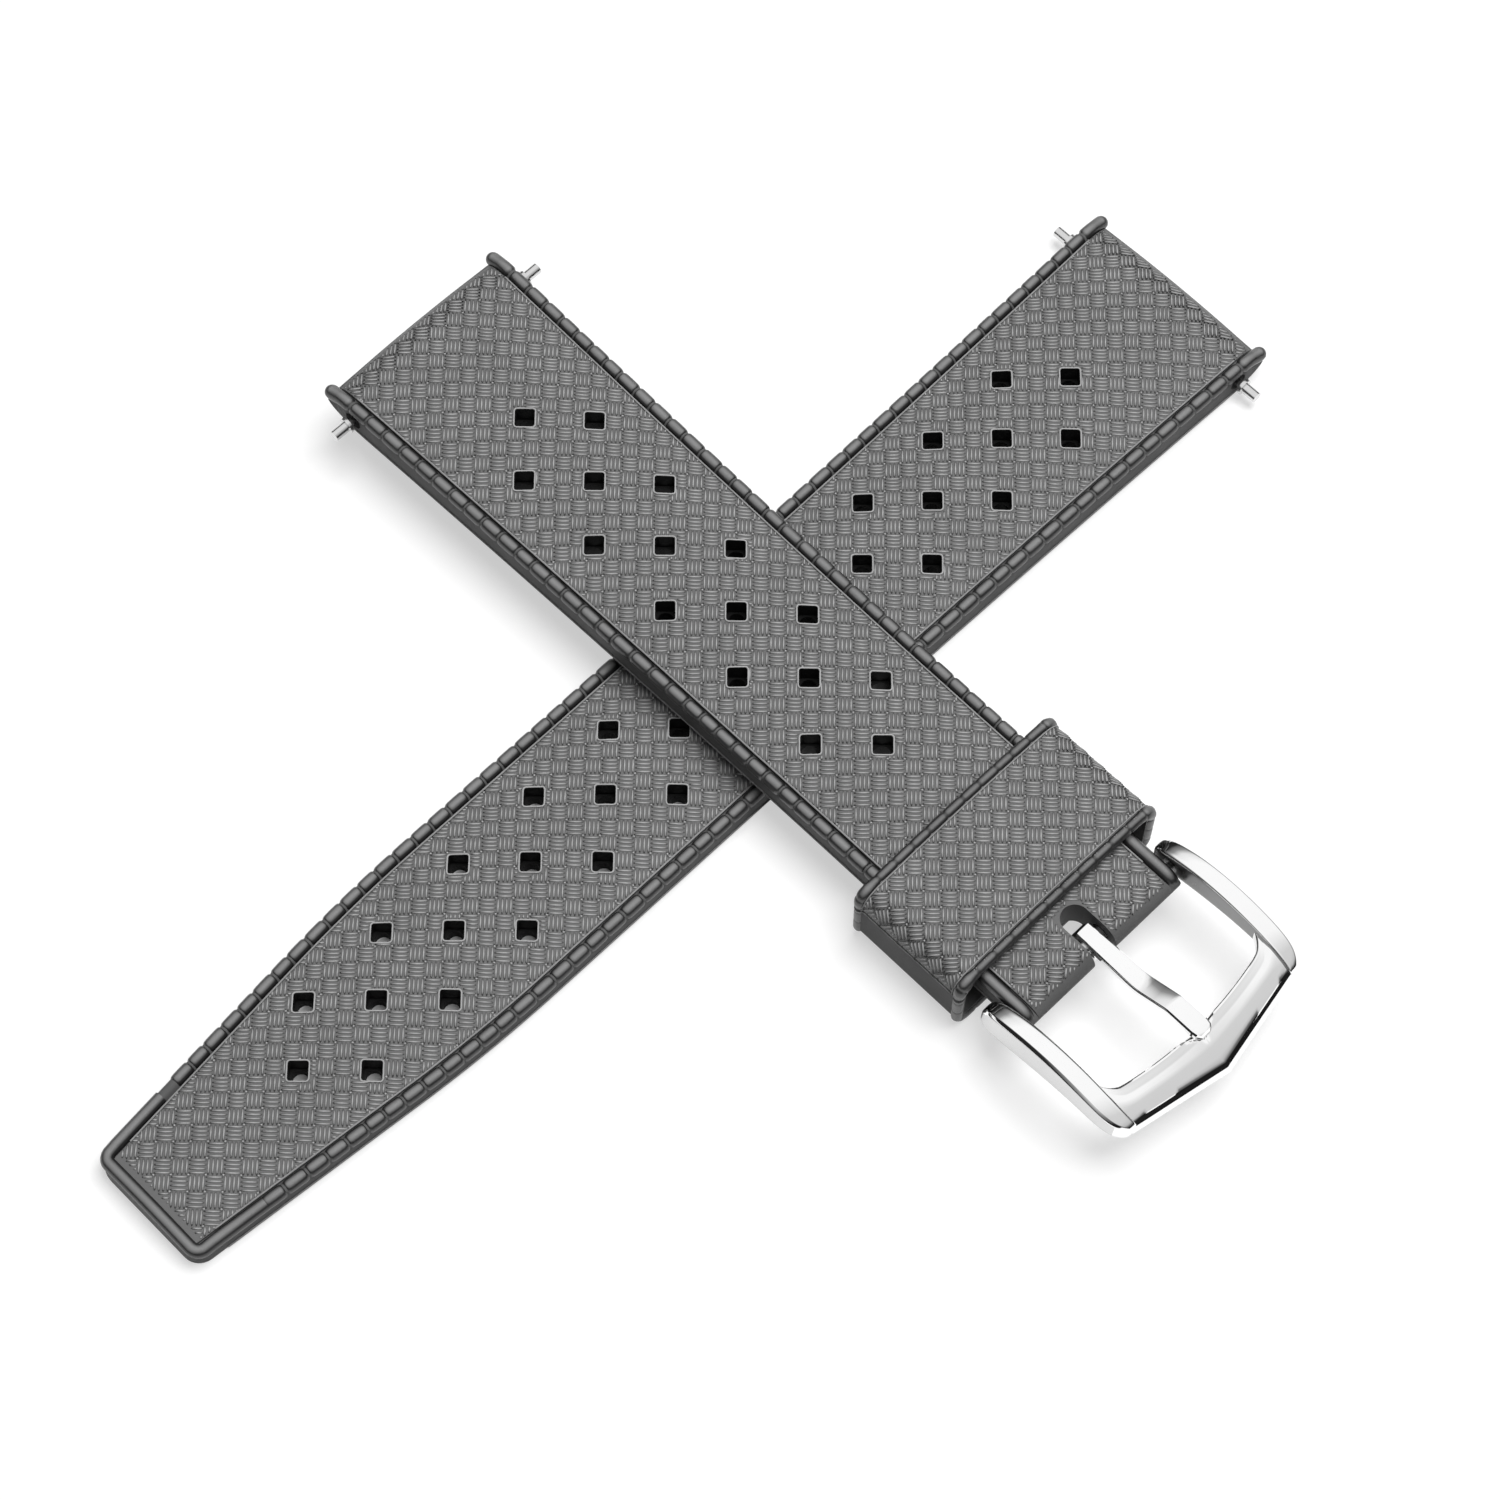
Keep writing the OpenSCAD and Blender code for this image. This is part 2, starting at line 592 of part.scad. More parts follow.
module tang() {
    bore = bar_radius + tang_clearance;
    loop = bore + tang_loop_wall;
    rise = plate_top + tang_gap + tang_thickness - loop;
    bend_start = 0.46 * plate_in;
    bend_end = 0.82 * plate_in;
    side = [[0, loop], [bend_start, loop], [bend_end, loop + rise], [tang_reach, loop + rise],
            [tang_reach, loop + rise - tang_thickness], [bend_end + 0.15, loop + rise - tang_thickness],
            [bend_start + 0.15, loop - tang_thickness], [0, loop - tang_thickness]];
    nose = tang_width / 2;
    mask = 4 * loop + rise;
    color(STEEL) at_bar() intersection() {
        difference() {
            union() {
                rotate([90, 0, 0]) linear_extrude(tang_width, center = true) polygon(side);
                cross_bore(0, 0, loop, tang_width);
            }
            cross_bore(0, 0, bore, tang_width + bore_overrun);
        }
        union() {
            translate([-2 * loop, -nose, -2 * loop]) cube([tang_reach + 2 * loop - nose, tang_width, mask]);
            translate([tang_reach - nose, 0, -2 * loop]) cylinder(r = nose, h = mask, $fn = 48);
        }
    }
}

module tail_bar_tube() at_tail_bar() bar_tube(lug_tube_half);
module tail_bar_spring() at_tail_bar() bar_spring(lug_tube_half);
module tail_bar_plunger_left() at_tail_bar() lug_plunger(-1);
module tail_bar_plunger_right() at_tail_bar() lug_plunger(1);
module lug_bar_tube() at_lug_bar() bar_tube(lug_tube_half);
module lug_bar_spring() at_lug_bar() bar_spring(lug_tube_half);
module lug_bar_plunger_left() at_lug_bar() lug_plunger(1);
module lug_bar_plunger_right() at_lug_bar() lug_plunger(-1);
module buckle_bar_tube() at_bar() bar_tube(buckle_tube_half);
module buckle_bar_spring() at_bar() bar_spring(buckle_tube_half);
module buckle_bar_plunger_left() at_bar() buckle_plunger(1);
module buckle_bar_plunger_right() at_bar() buckle_plunger(-1);

tail_strap();
buckle_strap();
keeper();
buckle_frame();
tang();
tail_bar_tube();
tail_bar_spring();
tail_bar_plunger_left();
tail_bar_plunger_right();
lug_bar_tube();
lug_bar_spring();
lug_bar_plunger_left();
lug_bar_plunger_right();
buckle_bar_tube();
buckle_bar_spring();
buckle_bar_plunger_left();
buckle_bar_plunger_right();
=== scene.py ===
import bisect
import math
import random

import bmesh
import bpy
from mathutils import Matrix, Vector


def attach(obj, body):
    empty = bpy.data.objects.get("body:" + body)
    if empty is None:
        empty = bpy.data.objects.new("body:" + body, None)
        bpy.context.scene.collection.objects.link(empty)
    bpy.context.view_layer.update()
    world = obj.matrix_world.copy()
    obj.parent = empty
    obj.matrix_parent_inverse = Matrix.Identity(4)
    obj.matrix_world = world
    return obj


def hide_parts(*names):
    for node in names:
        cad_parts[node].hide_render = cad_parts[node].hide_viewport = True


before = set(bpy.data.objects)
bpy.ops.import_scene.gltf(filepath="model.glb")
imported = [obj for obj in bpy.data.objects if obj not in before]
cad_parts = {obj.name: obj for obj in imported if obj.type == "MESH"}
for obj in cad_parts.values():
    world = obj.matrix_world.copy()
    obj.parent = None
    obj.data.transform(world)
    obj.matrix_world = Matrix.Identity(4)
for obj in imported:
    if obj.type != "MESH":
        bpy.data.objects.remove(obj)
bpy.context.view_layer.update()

MM = 0.001
ROOT2 = math.sqrt(2)

# Sizes of the strap halves in millimetres, as in the part's source
LUG_WIDTH = 20
STRAP_WIDTH = 18
FLARE_LENGTH = 65
TAIL_LENGTH = 120
BUCKLE_HALF_LENGTH = 80
LUG_THICKNESS = 4.4
BAR_END_THICKNESS = 3.5
THINNING_LENGTH = 50
TIP_THICKNESS = 2.6
CROWN_RADIUS = 40
BEAD_RADIUS = 0.6
BEAD_RISE = 0.3
WALL_INSET = 0.15
NOSE_TOP = 2.4
NOSE_UNDER = 4.5
NOSE_HEIGHT = 1.9
TIP_WIDTH = 12.2
TAPER_LENGTH = 36
TAPER_EASE = 14
TIP_CORNER = 1.4
BAR_END_ROLL = BAR_END_THICKNESS / 2
BUCKLE_BAR_HEIGHT = 1.55
LUG_BAR_INSET = 3
LUG_BAR_HEIGHT = 1.6
TUNNEL_RADIUS = 0.85
BUCKLE_HALF_END = BUCKLE_HALF_LENGTH + BAR_END_ROLL

# Vent holes
HOLE_SIZE = 1.7
HOLE_CORNER = 0.22
HOLE_DEPTH = 1.9
HOLE_FLOOR = 1.45
HOLE_STEP = 8.5
HOLE_ROW = 4.1
FIRST_HOLE = 14.2
GROUP_GAP = 13
TAIL_GROUPS = [(FIRST_HOLE, 5), (FIRST_HOLE + 4 * HOLE_STEP + GROUP_GAP, 6)]
BUCKLE_GROUPS = [(FIRST_HOLE, 6)]

# Slot for the tang
SLOT_WIDTH = 2.5
SLOT_ROOT = BUCKLE_HALF_LENGTH - 3 + SLOT_WIDTH / 2

# Keeper
KEEPER_START = 64.4
KEEPER_END = 76.5
KEEPER_WALL = 0.95
KEEPER_HALF = 11.45
KEEPER_CROWN = 120.95
KEEPER_CORNER = 1.9
KEEPER_SHIFT = 0.2
KEEPER_FOOT = 1.5
KEEPER_RIM_RISE = 0.2
KEEPER_RIM_RADIUS = 0.52

# Places of the halves
CROSS_X = -5.05
CROSS_Y = 8.3
TAIL_CROSS = 51.7
BUCKLE_CROSS = 42.6

# Woven grain
CELL = 1.385
RIBS_IN_CELL = 4
RIB_WIDTH = 0.3
RIB_LIFT = 0.1
RIB_ROOT = 0.07
SHORTEST_RIB = 0.16
FLATTEST_RIB = 0.08
PIP_RADIUS = 0.09
PIPS_FROM = 0.6
RIM_WIRE = 0.15
SLOPE_STEP = 0.05
NEAR_HOLE = 2.5
CLIP_STEPS = 14
FIELD_SINK = 0.08
HOLE_REACH = HOLE_SIZE / 2 + 0.14
GROOVE_WIDTH = 0.1
GROOVE_DEPTH = 0.3


# Circles in degrees

def cosine(degrees):
    return math.cos(math.radians(degrees))


def sine(degrees):
    return math.sin(math.radians(degrees))


def arc(x, y, r, start, end, count):
    """Points along an arc, both ends included."""
    turns = [start + (end - start) * i / count for i in range(count + 1)]
    return [(x + r * cosine(turn), y + r * sine(turn)) for turn in turns]


def circle(x, y, r, count):
    return arc(x, y, r, 0, 360, count)[1:]


# Outline, thickness and cross section of the halves

def half_width(u):
    """Half the width at a distance u from the watch end, where the strap flares."""
    return STRAP_WIDTH / 2 + (LUG_WIDTH - STRAP_WIDTH) / 2 * max(0, 1 - u / FLARE_LENGTH) ** 2


def taper(v):
    """How much the tail has narrowed on each side at a distance v into its taper, which begins softly."""
    slope = (STRAP_WIDTH - TIP_WIDTH) / 2 / (TAPER_LENGTH - TAPER_EASE / 2)
    if v < 0:
        return 0
    if v < TAPER_EASE:
        return slope * v * v / (2 * TAPER_EASE)
    return slope * (v - TAPER_EASE / 2)


def tail_half_width(u):
    v = u - TAIL_LENGTH + TIP_CORNER
    corner = 0 if v < 0 else TIP_CORNER - math.sqrt(max(0, TIP_CORNER ** 2 - v * v))
    return half_width(u) - taper(u - TAIL_LENGTH + TAPER_LENGTH) - corner


def tail_thickness(u):
    return LUG_THICKNESS + (TIP_THICKNESS - LUG_THICKNESS) * u / TAIL_LENGTH


def buckle_thickness(u):
    return LUG_THICKNESS + (BAR_END_THICKNESS - LUG_THICKNESS) * min(u / THINNING_LENGTH, 1)


def crown_drop(y):
    """How much lower the crowned top lies at a distance y from the middle."""
    return CROWN_RADIUS - math.sqrt(CROWN_RADIUS ** 2 - y * y)


def end_round(v, length, least=0.015):
    """Share of the full height at a distance v from an end that is rounded over a length."""
    return math.sqrt(max(least, 1 - (1 - min(1, v / length)) ** 2))


def squeeze(z, middle, above, below):
    return middle + (z - middle) * (above if z > middle else below)


class Half:
    """One half of the strap: its outline, its thickness, how its ends roll, and where it lies."""

    def __init__(self, name, body, node, width, thickness, length, groups, place, lift):
        self.name = name
        self.body = body
        self.node = node
        self.width = width
        self.thickness = thickness
        self.length = length
        self.groups = groups
        self.place = place
        self.lift = lift

    def bead_height(self, u, y=None):
        """Height of the bead's middle."""
        w = self.width(u)
        across = w - 2 * BEAD_RADIUS if y is None else y
        return self.thickness(u) - crown_drop(across) + BEAD_RISE - BEAD_RADIUS

    def roll(self, u, z):
        """Height z as the half's rounded ends leave it."""
        if self.node == "buckle_strap" and u > BUCKLE_HALF_LENGTH:
            share = end_round(BUCKLE_HALF_END - u, BAR_END_ROLL)
            return squeeze(z, BAR_END_ROLL, share, share)
        return squeeze(z, NOSE_HEIGHT, end_round(u, NOSE_TOP), end_round(u, NOSE_UNDER))

    def field(self, u, y):
        """Point of the finished woven surface."""
        return Vector((u, y, self.roll(u, self.thickness(u) - crown_drop(y))))

    def field_limit(self, u):
        return self.width(u) - 2 * BEAD_RADIUS - GROOVE_WIDTH

    def holes(self):
        """Places of the vent holes: in each group a middle row and two rows between its holes."""
        found = []
        for start, count in self.groups:
            found += [(start + i * HOLE_STEP, 0) for i in range(count)]
            found += [(start + (i + 0.5) * HOLE_STEP, side * HOLE_ROW)
                      for i in range(count - 1) for side in (-1, 1)]
        return found


def lay_tail(p):
    return Vector((CROSS_X + p[1], CROSS_Y + TAIL_CROSS - p[0], p[2])) * MM


BUCKLE_HALF_Z = tail_thickness(TAIL_CROSS - half_width(BUCKLE_CROSS)) + 0.1


def lift_tail(p):
    x, y, z = p / MM
    return (CROSS_Y + TAIL_CROSS - y, x - CROSS_X, z)


def lift_buckle_half(p):
    x, y, z = p / MM
    return (x - CROSS_X + BUCKLE_CROSS, y - CROSS_Y, z - BUCKLE_HALF_Z)


def lay_buckle_half(p):
    return Vector((CROSS_X - BUCKLE_CROSS + p[0], CROSS_Y + p[1], BUCKLE_HALF_Z + p[2])) * MM


def lay_buckle(p):
    return lay_buckle_half((p[0] + BUCKLE_HALF_LENGTH, p[1], p[2] + BUCKLE_BAR_HEIGHT))


def lay_keeper(p):
    return lay_buckle_half((p[0], p[1] + KEEPER_SHIFT, p[2]))


TAIL = Half("tail", "tail_half", "tail_strap", tail_half_width, tail_thickness, TAIL_LENGTH,
            TAIL_GROUPS, lay_tail, lift_tail)
BUCKLE_HALF = Half("buckle_half", "buckle_half", "buckle_strap", half_width, buckle_thickness,
                   BUCKLE_HALF_END, BUCKLE_GROUPS, lay_buckle_half, lift_buckle_half)


# Shader and geometry nodes

class Field:
    """A node's output that adds Math nodes when it stands in an expression."""

    def __init__(self, nodes, socket):
        self.nodes = nodes
        self.socket = socket

    def math(self, operation, *values):
        return self.nodes.node("ShaderNodeMath", {"operation": operation}, dict(enumerate(values)))

    def __add__(self, other):
        return self.math("ADD", self, other)

    def __radd__(self, other):
        return self.math("ADD", other, self)

    def __sub__(self, other):
        return self.math("SUBTRACT", self, other)

    def __mul__(self, other):
        return self.math("MULTIPLY", self, other)

    def __truediv__(self, other):
        return self.math("DIVIDE", self, other)

    def magnitude(self):
        return self.math("ABSOLUTE", self)

    def clamped(self):
        return self.nodes.node("ShaderNodeClamp", None, {"Value": self})


class Nodes:
    """Adds nodes to one tree by type, settings and sockets."""

    def __init__(self, tree):
        self.tree = tree

    def node(self, kind, settings=None, sockets=None, out=0):
        made = self.tree.nodes.new(kind)
        for key, value in (settings or {}).items():
            setattr(made, key, value)
        for key, value in (sockets or {}).items():
            if isinstance(value, Field):
                self.tree.links.new(value.socket, made.inputs[key])
            elif value is not None:
                made.inputs[key].default_value = value
        return Field(self, made.outputs[out]) if made.outputs else made

    def axis(self, vector, name):
        return self.node("ShaderNodeSeparateXYZ", None, {"Vector": vector}, name)

    def ramp(self, factor, stops):
        """A ramp of greys through pairs of a place and a tone."""
        made = self.node("ShaderNodeValToRGB", None, {"Fac": factor})
        elements = made.socket.node.color_ramp.elements
        while len(elements) < len(stops):
            elements.new(1)
        for element, (place, tone) in zip(elements, stops):
            element.position = place
            element.color = grey(tone)
        return made


def grey(tone):
    return (tone, tone, tone, 1)


def new_finish(name):
    material = bpy.data.materials.new(name)
    material.use_nodes = True
    material.node_tree.nodes.clear()
    return material, Nodes(material.node_tree)


def finish_surface(n, colour, roughness, normal, constants):
    """Closes a material with one Principled shader whose constants are set on its own sockets."""
    sockets = {"Base Color": colour, "Roughness": roughness, "Normal": normal}
    sockets.update(constants)
    shader = n.node("ShaderNodeBsdfPrincipled", None, sockets)
    n.node("ShaderNodeOutputMaterial", None, {"Surface": shader})


def tone_between(n, factor, low, high, how="MIX"):
    """Mixes two greys, each a number or the output of a ramp."""
    low, high = [tone if isinstance(tone, Field) else grey(tone) for tone in (low, high)]
    return n.node("ShaderNodeMix", {"data_type": "RGBA", "blend_type": how}, {0: factor, 6: low, 7: high}, 2)


def own_place(n):
    return n.node("ShaderNodeTexCoord", None, None, "Object")


def noise(n, place, scale, detail, roughness):
    return n.node("ShaderNodeTexNoise", None,
                  {"Vector": place, "Scale": scale, "Detail": detail, "Roughness": roughness})


def moulded_rubber(name, dark, light, sheen, dullness, highlight_relief=None, base=0, gain=1):
    """Matt grey rubber: fine moulded grain, cloudy tone, and, when a height attribute is named, a painted
    highlight where it stands high and painted shade where it is low.

    On beads that height is the swell times the normal's upward share, so beads are painted palest along
    their crests and darker on their sides and in their notches.
    """
    material, n = new_finish(name)
    place = own_place(n)
    grain = noise(n, place, 9000, 3, 0.6)
    cloud = noise(n, place, 260, 4, 0.6)
    share = 0.5 + (cloud - 0.5) * 0.9 + (grain - 0.5) * 0.25
    if highlight_relief:
        height = n.node("ShaderNodeAttribute", {"attribute_name": highlight_relief}, None, "Fac")
        # On beads the painted highlight also follows upward-facing normals: pale crests, dark sides and
        # notches.
        if highlight_relief == "swell":
            height = height * n.axis(n.node("ShaderNodeNewGeometry", None, None, "Normal"), "Z")
        # Painted highlight where the attribute stands high, painted shade where it is low.
        share = (height - base) * gain + (cloud - 0.5) * 0.5 + (grain - 0.5) * 0.25
    colour = tone_between(n, share, dark, light)
    roughness = dullness + (cloud - 0.5) * 0.22 + (grain - 0.5) * 0.12
    bump = n.node("ShaderNodeBump", None, {"Strength": 0.35, "Distance": 0.00003, "Height": grain})
    finish_surface(n, colour, roughness, bump, {"Specular IOR Level": sheen})
    return material


def polished_metal(name, tone, roughness, streak_scale, streak):
    """Bright steel with faint polishing streaks and a slight ripple."""
    material, n = new_finish(name)
    place = own_place(n)
    stretched = n.node("ShaderNodeMapping", None, {"Vector": place, "Scale": (1, 0.12, 0.6)})
    fine = noise(n, stretched, streak_scale, 3, 0.6)
    wide = noise(n, place, 300, 2, 0.5)
    colour = tone_between(n, wide, tone * 0.96, tone * 1.03)
    gloss = roughness + (fine - 0.5) * streak + (wide - 0.5) * streak
    bump = n.node("ShaderNodeBump", None, {"Strength": 0.05, "Distance": 0.00002, "Height": wide})
    finish_surface(n, colour, gloss, bump, {"Metallic": 1.0})
    return material


RUBBER = moulded_rubber("plain rubber", 0.085, 0.12, sheen=0.3, dullness=0.6)
# Beads painted pale on their upward-facing crests as highlights, and darker on their sides and in their
# notches as shade.
BEAD_RUBBER_PAINTED_LIGHT = moulded_rubber("rubber of the beads", 0.012, 0.2, sheen=0.9, dullness=0.35,
                             highlight_relief="swell", base=0.76, gain=3.6)
# Ribs painted pale along their crests as highlights and darker at their roots as shade.
WEAVE_WITH_PAINTED_CREST_LIGHT = moulded_rubber("woven rubber, painted pale on its rib crests", 0.125, 0.5, sheen=0.9, dullness=0.46,
                       highlight_relief="crest", base=0.45, gain=1.5)
GROUND = moulded_rubber("rubber between the ribs", 0.085, 0.115, sheen=0.9, dullness=0.46)
# Mould lines and rim dots painted pale as highlights.
LINE_RUBBER_PAINTED_PALE = moulded_rubber("rubber of the mould lines", 0.2, 0.34, sheen=0.5, dullness=0.5)
# Inside of the vent holes, painted near black as shade.
HOLE_PAINTED_SHADE = moulded_rubber("rubber inside the holes, painted dark as shade", 0.008, 0.018, sheen=0.2, dullness=0.6)
STEEL = polished_metal("polished steel", 0.96, 0.05, 2500, 0.03)
# Inner walls of the buckle and the tang's rear, rougher and painted dark as shade.
INNER_STEEL_PAINTED_SHADE = polished_metal("duller steel of the buckle's inner walls", 0.22, 0.3, 2500, 0.1)
# Outer walls of the buckle, satin and painted greyer than the polished top as shade.
OUTER_STEEL_PAINTED_SHADE = polished_metal("satin steel of the buckle's outer walls", 0.66, 0.2, 2500, 0.1)
TURNED_STEEL = polished_metal("turned steel", 0.7, 0.2, 6000, 0.12)
SPRING_WIRE = polished_metal("drawn spring wire", 0.55, 0.3, 8000, 0.12)


# Mesh making

def put(name, data):
    """Adds an object with this mesh, lamp or camera to the scene."""
    made = bpy.data.objects.new(name, data)
    bpy.context.scene.collection.objects.link(made)
    return made


def new_piece(name, shape, materials, place):
    """A piece from points in millimetres and faces, laid in its place with its faces outwards."""
    points, faces = shape
    mesh = bpy.data.meshes.new(name)
    mesh.from_pydata([place(p) for p in points], [], faces)
    for material in materials:
        mesh.materials.append(material)
    mesh.validate()
    turn_outwards(mesh)
    return put(name, mesh)


def turn_outwards(mesh):
    shape = bmesh.new()
    shape.from_mesh(mesh)
    bmesh.ops.recalc_face_normals(shape, faces=shape.faces)
    shape.to_mesh(mesh)
    shape.free()


def smooth(piece, angle=35):
    piece.data.shade_smooth()
    piece.data.set_sharp_from_angle(angle=math.radians(angle))


def apply_modifiers(piece):
    """Bakes an object's modifiers into a plain mesh of its own."""
    bpy.context.view_layer.update()
    graph = bpy.context.evaluated_depsgraph_get()
    made = bpy.data.meshes.new_from_object(piece.evaluated_get(graph), depsgraph=graph)
    piece.modifiers.clear()
    piece.data = made
    made.name = piece.name


def skin(sections, closed=False):
    """A solid through equal rings of points, with an end face at each end or closed on itself."""
    ring = len(sections[0])
    points = [p for section in sections for p in section]
    whole = len(points)
    faces = []
    for row in range(0, whole if closed else whole - ring, ring):
        for i in range(ring):
            a = row + i
            b = row + (i + 1) % ring
            faces.append((a, b, (b + ring) % whole, (a + ring) % whole))
    if not closed:
        faces += [tuple(reversed(range(ring))), tuple(range(whole - ring, whole))]
    return points, faces


def joined(first, second):
    """Two solids as one set of points and faces."""
    points, faces = first
    return points + second[0], faces + [tuple(len(points) + i for i in face) for face in second[1]]


def settle(piece, body, *nodes, slot="rubber"):
    """Hands a finished piece over to the frame, with the CAD nodes whose place it takes."""
    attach(piece, body)
    if nodes:
        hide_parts(*nodes)


# Geometry node trees

class Recipe(Nodes):
    """A geometry node tree whose named inputs are a mesh, sizes, counts and a material."""

    def __init__(self, name, sizes, counts=()):
        super().__init__(bpy.data.node_groups.new(name, "GeometryNodeTree"))
        face = self.tree.interface
        inputs = [("Geometry", "NodeSocketGeometry"), ("Material", "NodeSocketMaterial")]
        inputs += [(label, "NodeSocketFloat") for label in sizes]
        inputs += [(label, "NodeSocketInt") for label in counts]
        self.keys = {}
        for label, kind in inputs:
            self.keys[label] = face.new_socket(label, in_out="INPUT", socket_type=kind).identifier
        face.new_socket("Geometry", in_out="OUTPUT", socket_type="NodeSocketGeometry")
        self.entry = self.tree.nodes.new("NodeGroupInput")

    def given(self, label):
        return Field(self, self.entry.outputs[label])

    def carried(self, name, kind="FLOAT_VECTOR"):
        """What the points carry under this name."""
        return self.node("GeometryNodeInputNamedAttribute", {"data_type": kind}, {"Name": name})

    def upright(self, curve):
        return self.node("GeometryNodeSetCurveNormal", {"mode": "Z_UP"}, {"Curve": curve})

    def tube(self, curve, sides, radius, swell=1.0):
        profile = self.node("GeometryNodeCurvePrimitiveCircle", None,
                            {"Resolution": sides, "Radius": radius})
        return self.node("GeometryNodeCurveToMesh", None,
                         {"Curve": curve, "Profile Curve": profile, "Scale": swell, "Fill Caps": True})

    def crested(self, shape, height):
        """Notes how high each point stands, from 0 to 1, which the weave's material paints as a highlight on
        high points and as shade low down.
        """
        return self.node("GeometryNodeStoreNamedAttribute", {"data_type": "FLOAT", "domain": "POINT"},
                         {"Geometry": shape, "Name": "crest", "Value": height})

    def lay(self, shape, **how):
        """Closes the tree with the shape on each point."""
        sockets = {"Points": self.given("Geometry"), "Instance": shape, **how}
        return self.close(self.node("GeometryNodeInstanceOnPoints", None, sockets))

    def turned(self):
        return self.node("FunctionNodeEulerToRotation", None, {"Euler": self.carried("turn")})

    def close(self, geometry):
        smoothed = self.node("GeometryNodeSetShadeSmooth", None, {"Geometry": geometry})
        real = self.node("GeometryNodeRealizeInstances", None, {"Geometry": smoothed})
        painted = self.node("GeometryNodeSetMaterial", None,
                            {"Geometry": real, "Material": self.given("Material")})
        self.node("NodeGroupOutput", None, {"Geometry": painted})
        return self

    def make(self, piece, material, **values):
        """Runs the tree on a piece with these inputs and leaves a plain mesh."""
        modifier = piece.modifiers.new(self.tree.name, "NODES")
        modifier.node_group = self.tree
        modifier[self.keys["Material"]] = material
        for label, value in values.items():
            modifier[self.keys[label]] = value
        apply_modifiers(piece)


def bead_recipe():
    """A round bead along each line of points, as thick as the points' swell says."""
    r = Recipe("bead along an edge", ["diameter"], ["sides"])
    line = r.upright(r.node("GeometryNodeMeshToCurve", None, {"Mesh": r.given("Geometry")}))
    return r.close(r.tube(line, r.given("sides"), r.given("diameter") * 0.5, r.carried("swell", "FLOAT")))


def rib_recipe():
    """Arched ribs of the woven grain, one on each point, 1 m long before they are scaled."""
    r = Recipe("woven ribs", ["width", "lift", "root"], ["sides", "spans"])
    half = r.given("width") * 0.5
    foot = r.given("root") - half
    crown = (r.given("lift") - half - foot * 0.25) / 0.75
    ends = {"Resolution": r.given("spans")}
    for name, x, z in (("Start", -0.5, foot), ("Start Handle", -0.56, crown),
                       ("End Handle", 0.56, crown), ("End", 0.5, foot)):
        ends[name] = r.node("ShaderNodeCombineXYZ", None, {"X": x, "Z": z})
    arch = r.upright(r.node("GeometryNodeCurvePrimitiveBezierSegment", {"mode": "POSITION"}, ends))
    rib = r.tube(arch, r.given("sides"), half)
    height = r.axis(r.node("GeometryNodeInputPosition"), "Z")
    rib = r.crested(rib, (height / r.given("lift")).clamped())
    return r.lay(rib, Rotation=r.turned(), Scale=r.carried("span"))


def pip_recipe():
    """Small round pips, one on each point, marked at full crest, which the weave's material paints at its
    palest as a highlight.
    """
    r = Recipe("pips at the cell corners", ["radius"])
    ball = r.node("GeometryNodeMeshIcoSphere", None, {"Radius": r.given("radius"), "Subdivisions": 1})
    return r.lay(r.crested(ball, 1.0))


def rim_recipe():
    """A thin raised rim round each square hole, marked near full crest, which the weave's material paints
    pale as a highlight.
    """
    r = Recipe("rims of the vent holes", ["size", "corner", "wire"])
    square = r.node("GeometryNodeCurvePrimitiveQuadrilateral", None,
                    {"Width": r.given("size"), "Height": r.given("size")})
    rounded = r.node("GeometryNodeFilletCurve", {"mode": "POLY"},
                     {"Curve": square, "Count": 4, "Radius": r.given("corner")})
    return r.lay(r.crested(r.tube(rounded, 8, r.given("wire") * 0.5), 0.9), Rotation=r.turned())


BEADS = bead_recipe()
RIBS = rib_recipe()
PIPS = pip_recipe()
RIMS = rim_recipe()


def loose_piece(name, points, edges=(), swell=None, **vectors):
    """Loose points or lines that carry the values which a tree reads."""
    mesh = bpy.data.meshes.new(name)
    mesh.from_pydata(points, edges, [])
    if swell:
        mesh.attributes.new("swell", "FLOAT", "POINT").data.foreach_set("value", swell)
    for key, values in vectors.items():
        attribute = mesh.attributes.new(key, "FLOAT_VECTOR", "POINT")
        attribute.data.foreach_set("vector", [c for v in values for c in v])
    return put(name, mesh)


def bead_lines(name, lines, place, body, diameter, sides, material):
    """Beads along open or closed lines, given as pairs of a point and its swell."""
    points = []
    edges = []
    swells = []
    for line, closed in lines:
        first = len(points)
        points += [place(p) for p, swell in line]
        swells += [swell for p, swell in line]
        edges += [(first + i, first + i + 1) for i in range(len(line) - 1)]
        if closed:
            edges.append((first + len(line) - 1, first))
    piece = loose_piece(name, points, edges, swells)
    BEADS.make(piece, material, diameter=diameter * MM, sides=sides)
    settle(piece, body)


# Plain rubber bodies of the two halves

CORE_RADIUS = 0.47
FIELD_STEPS = 14
FOOT_ROUND = 0.25


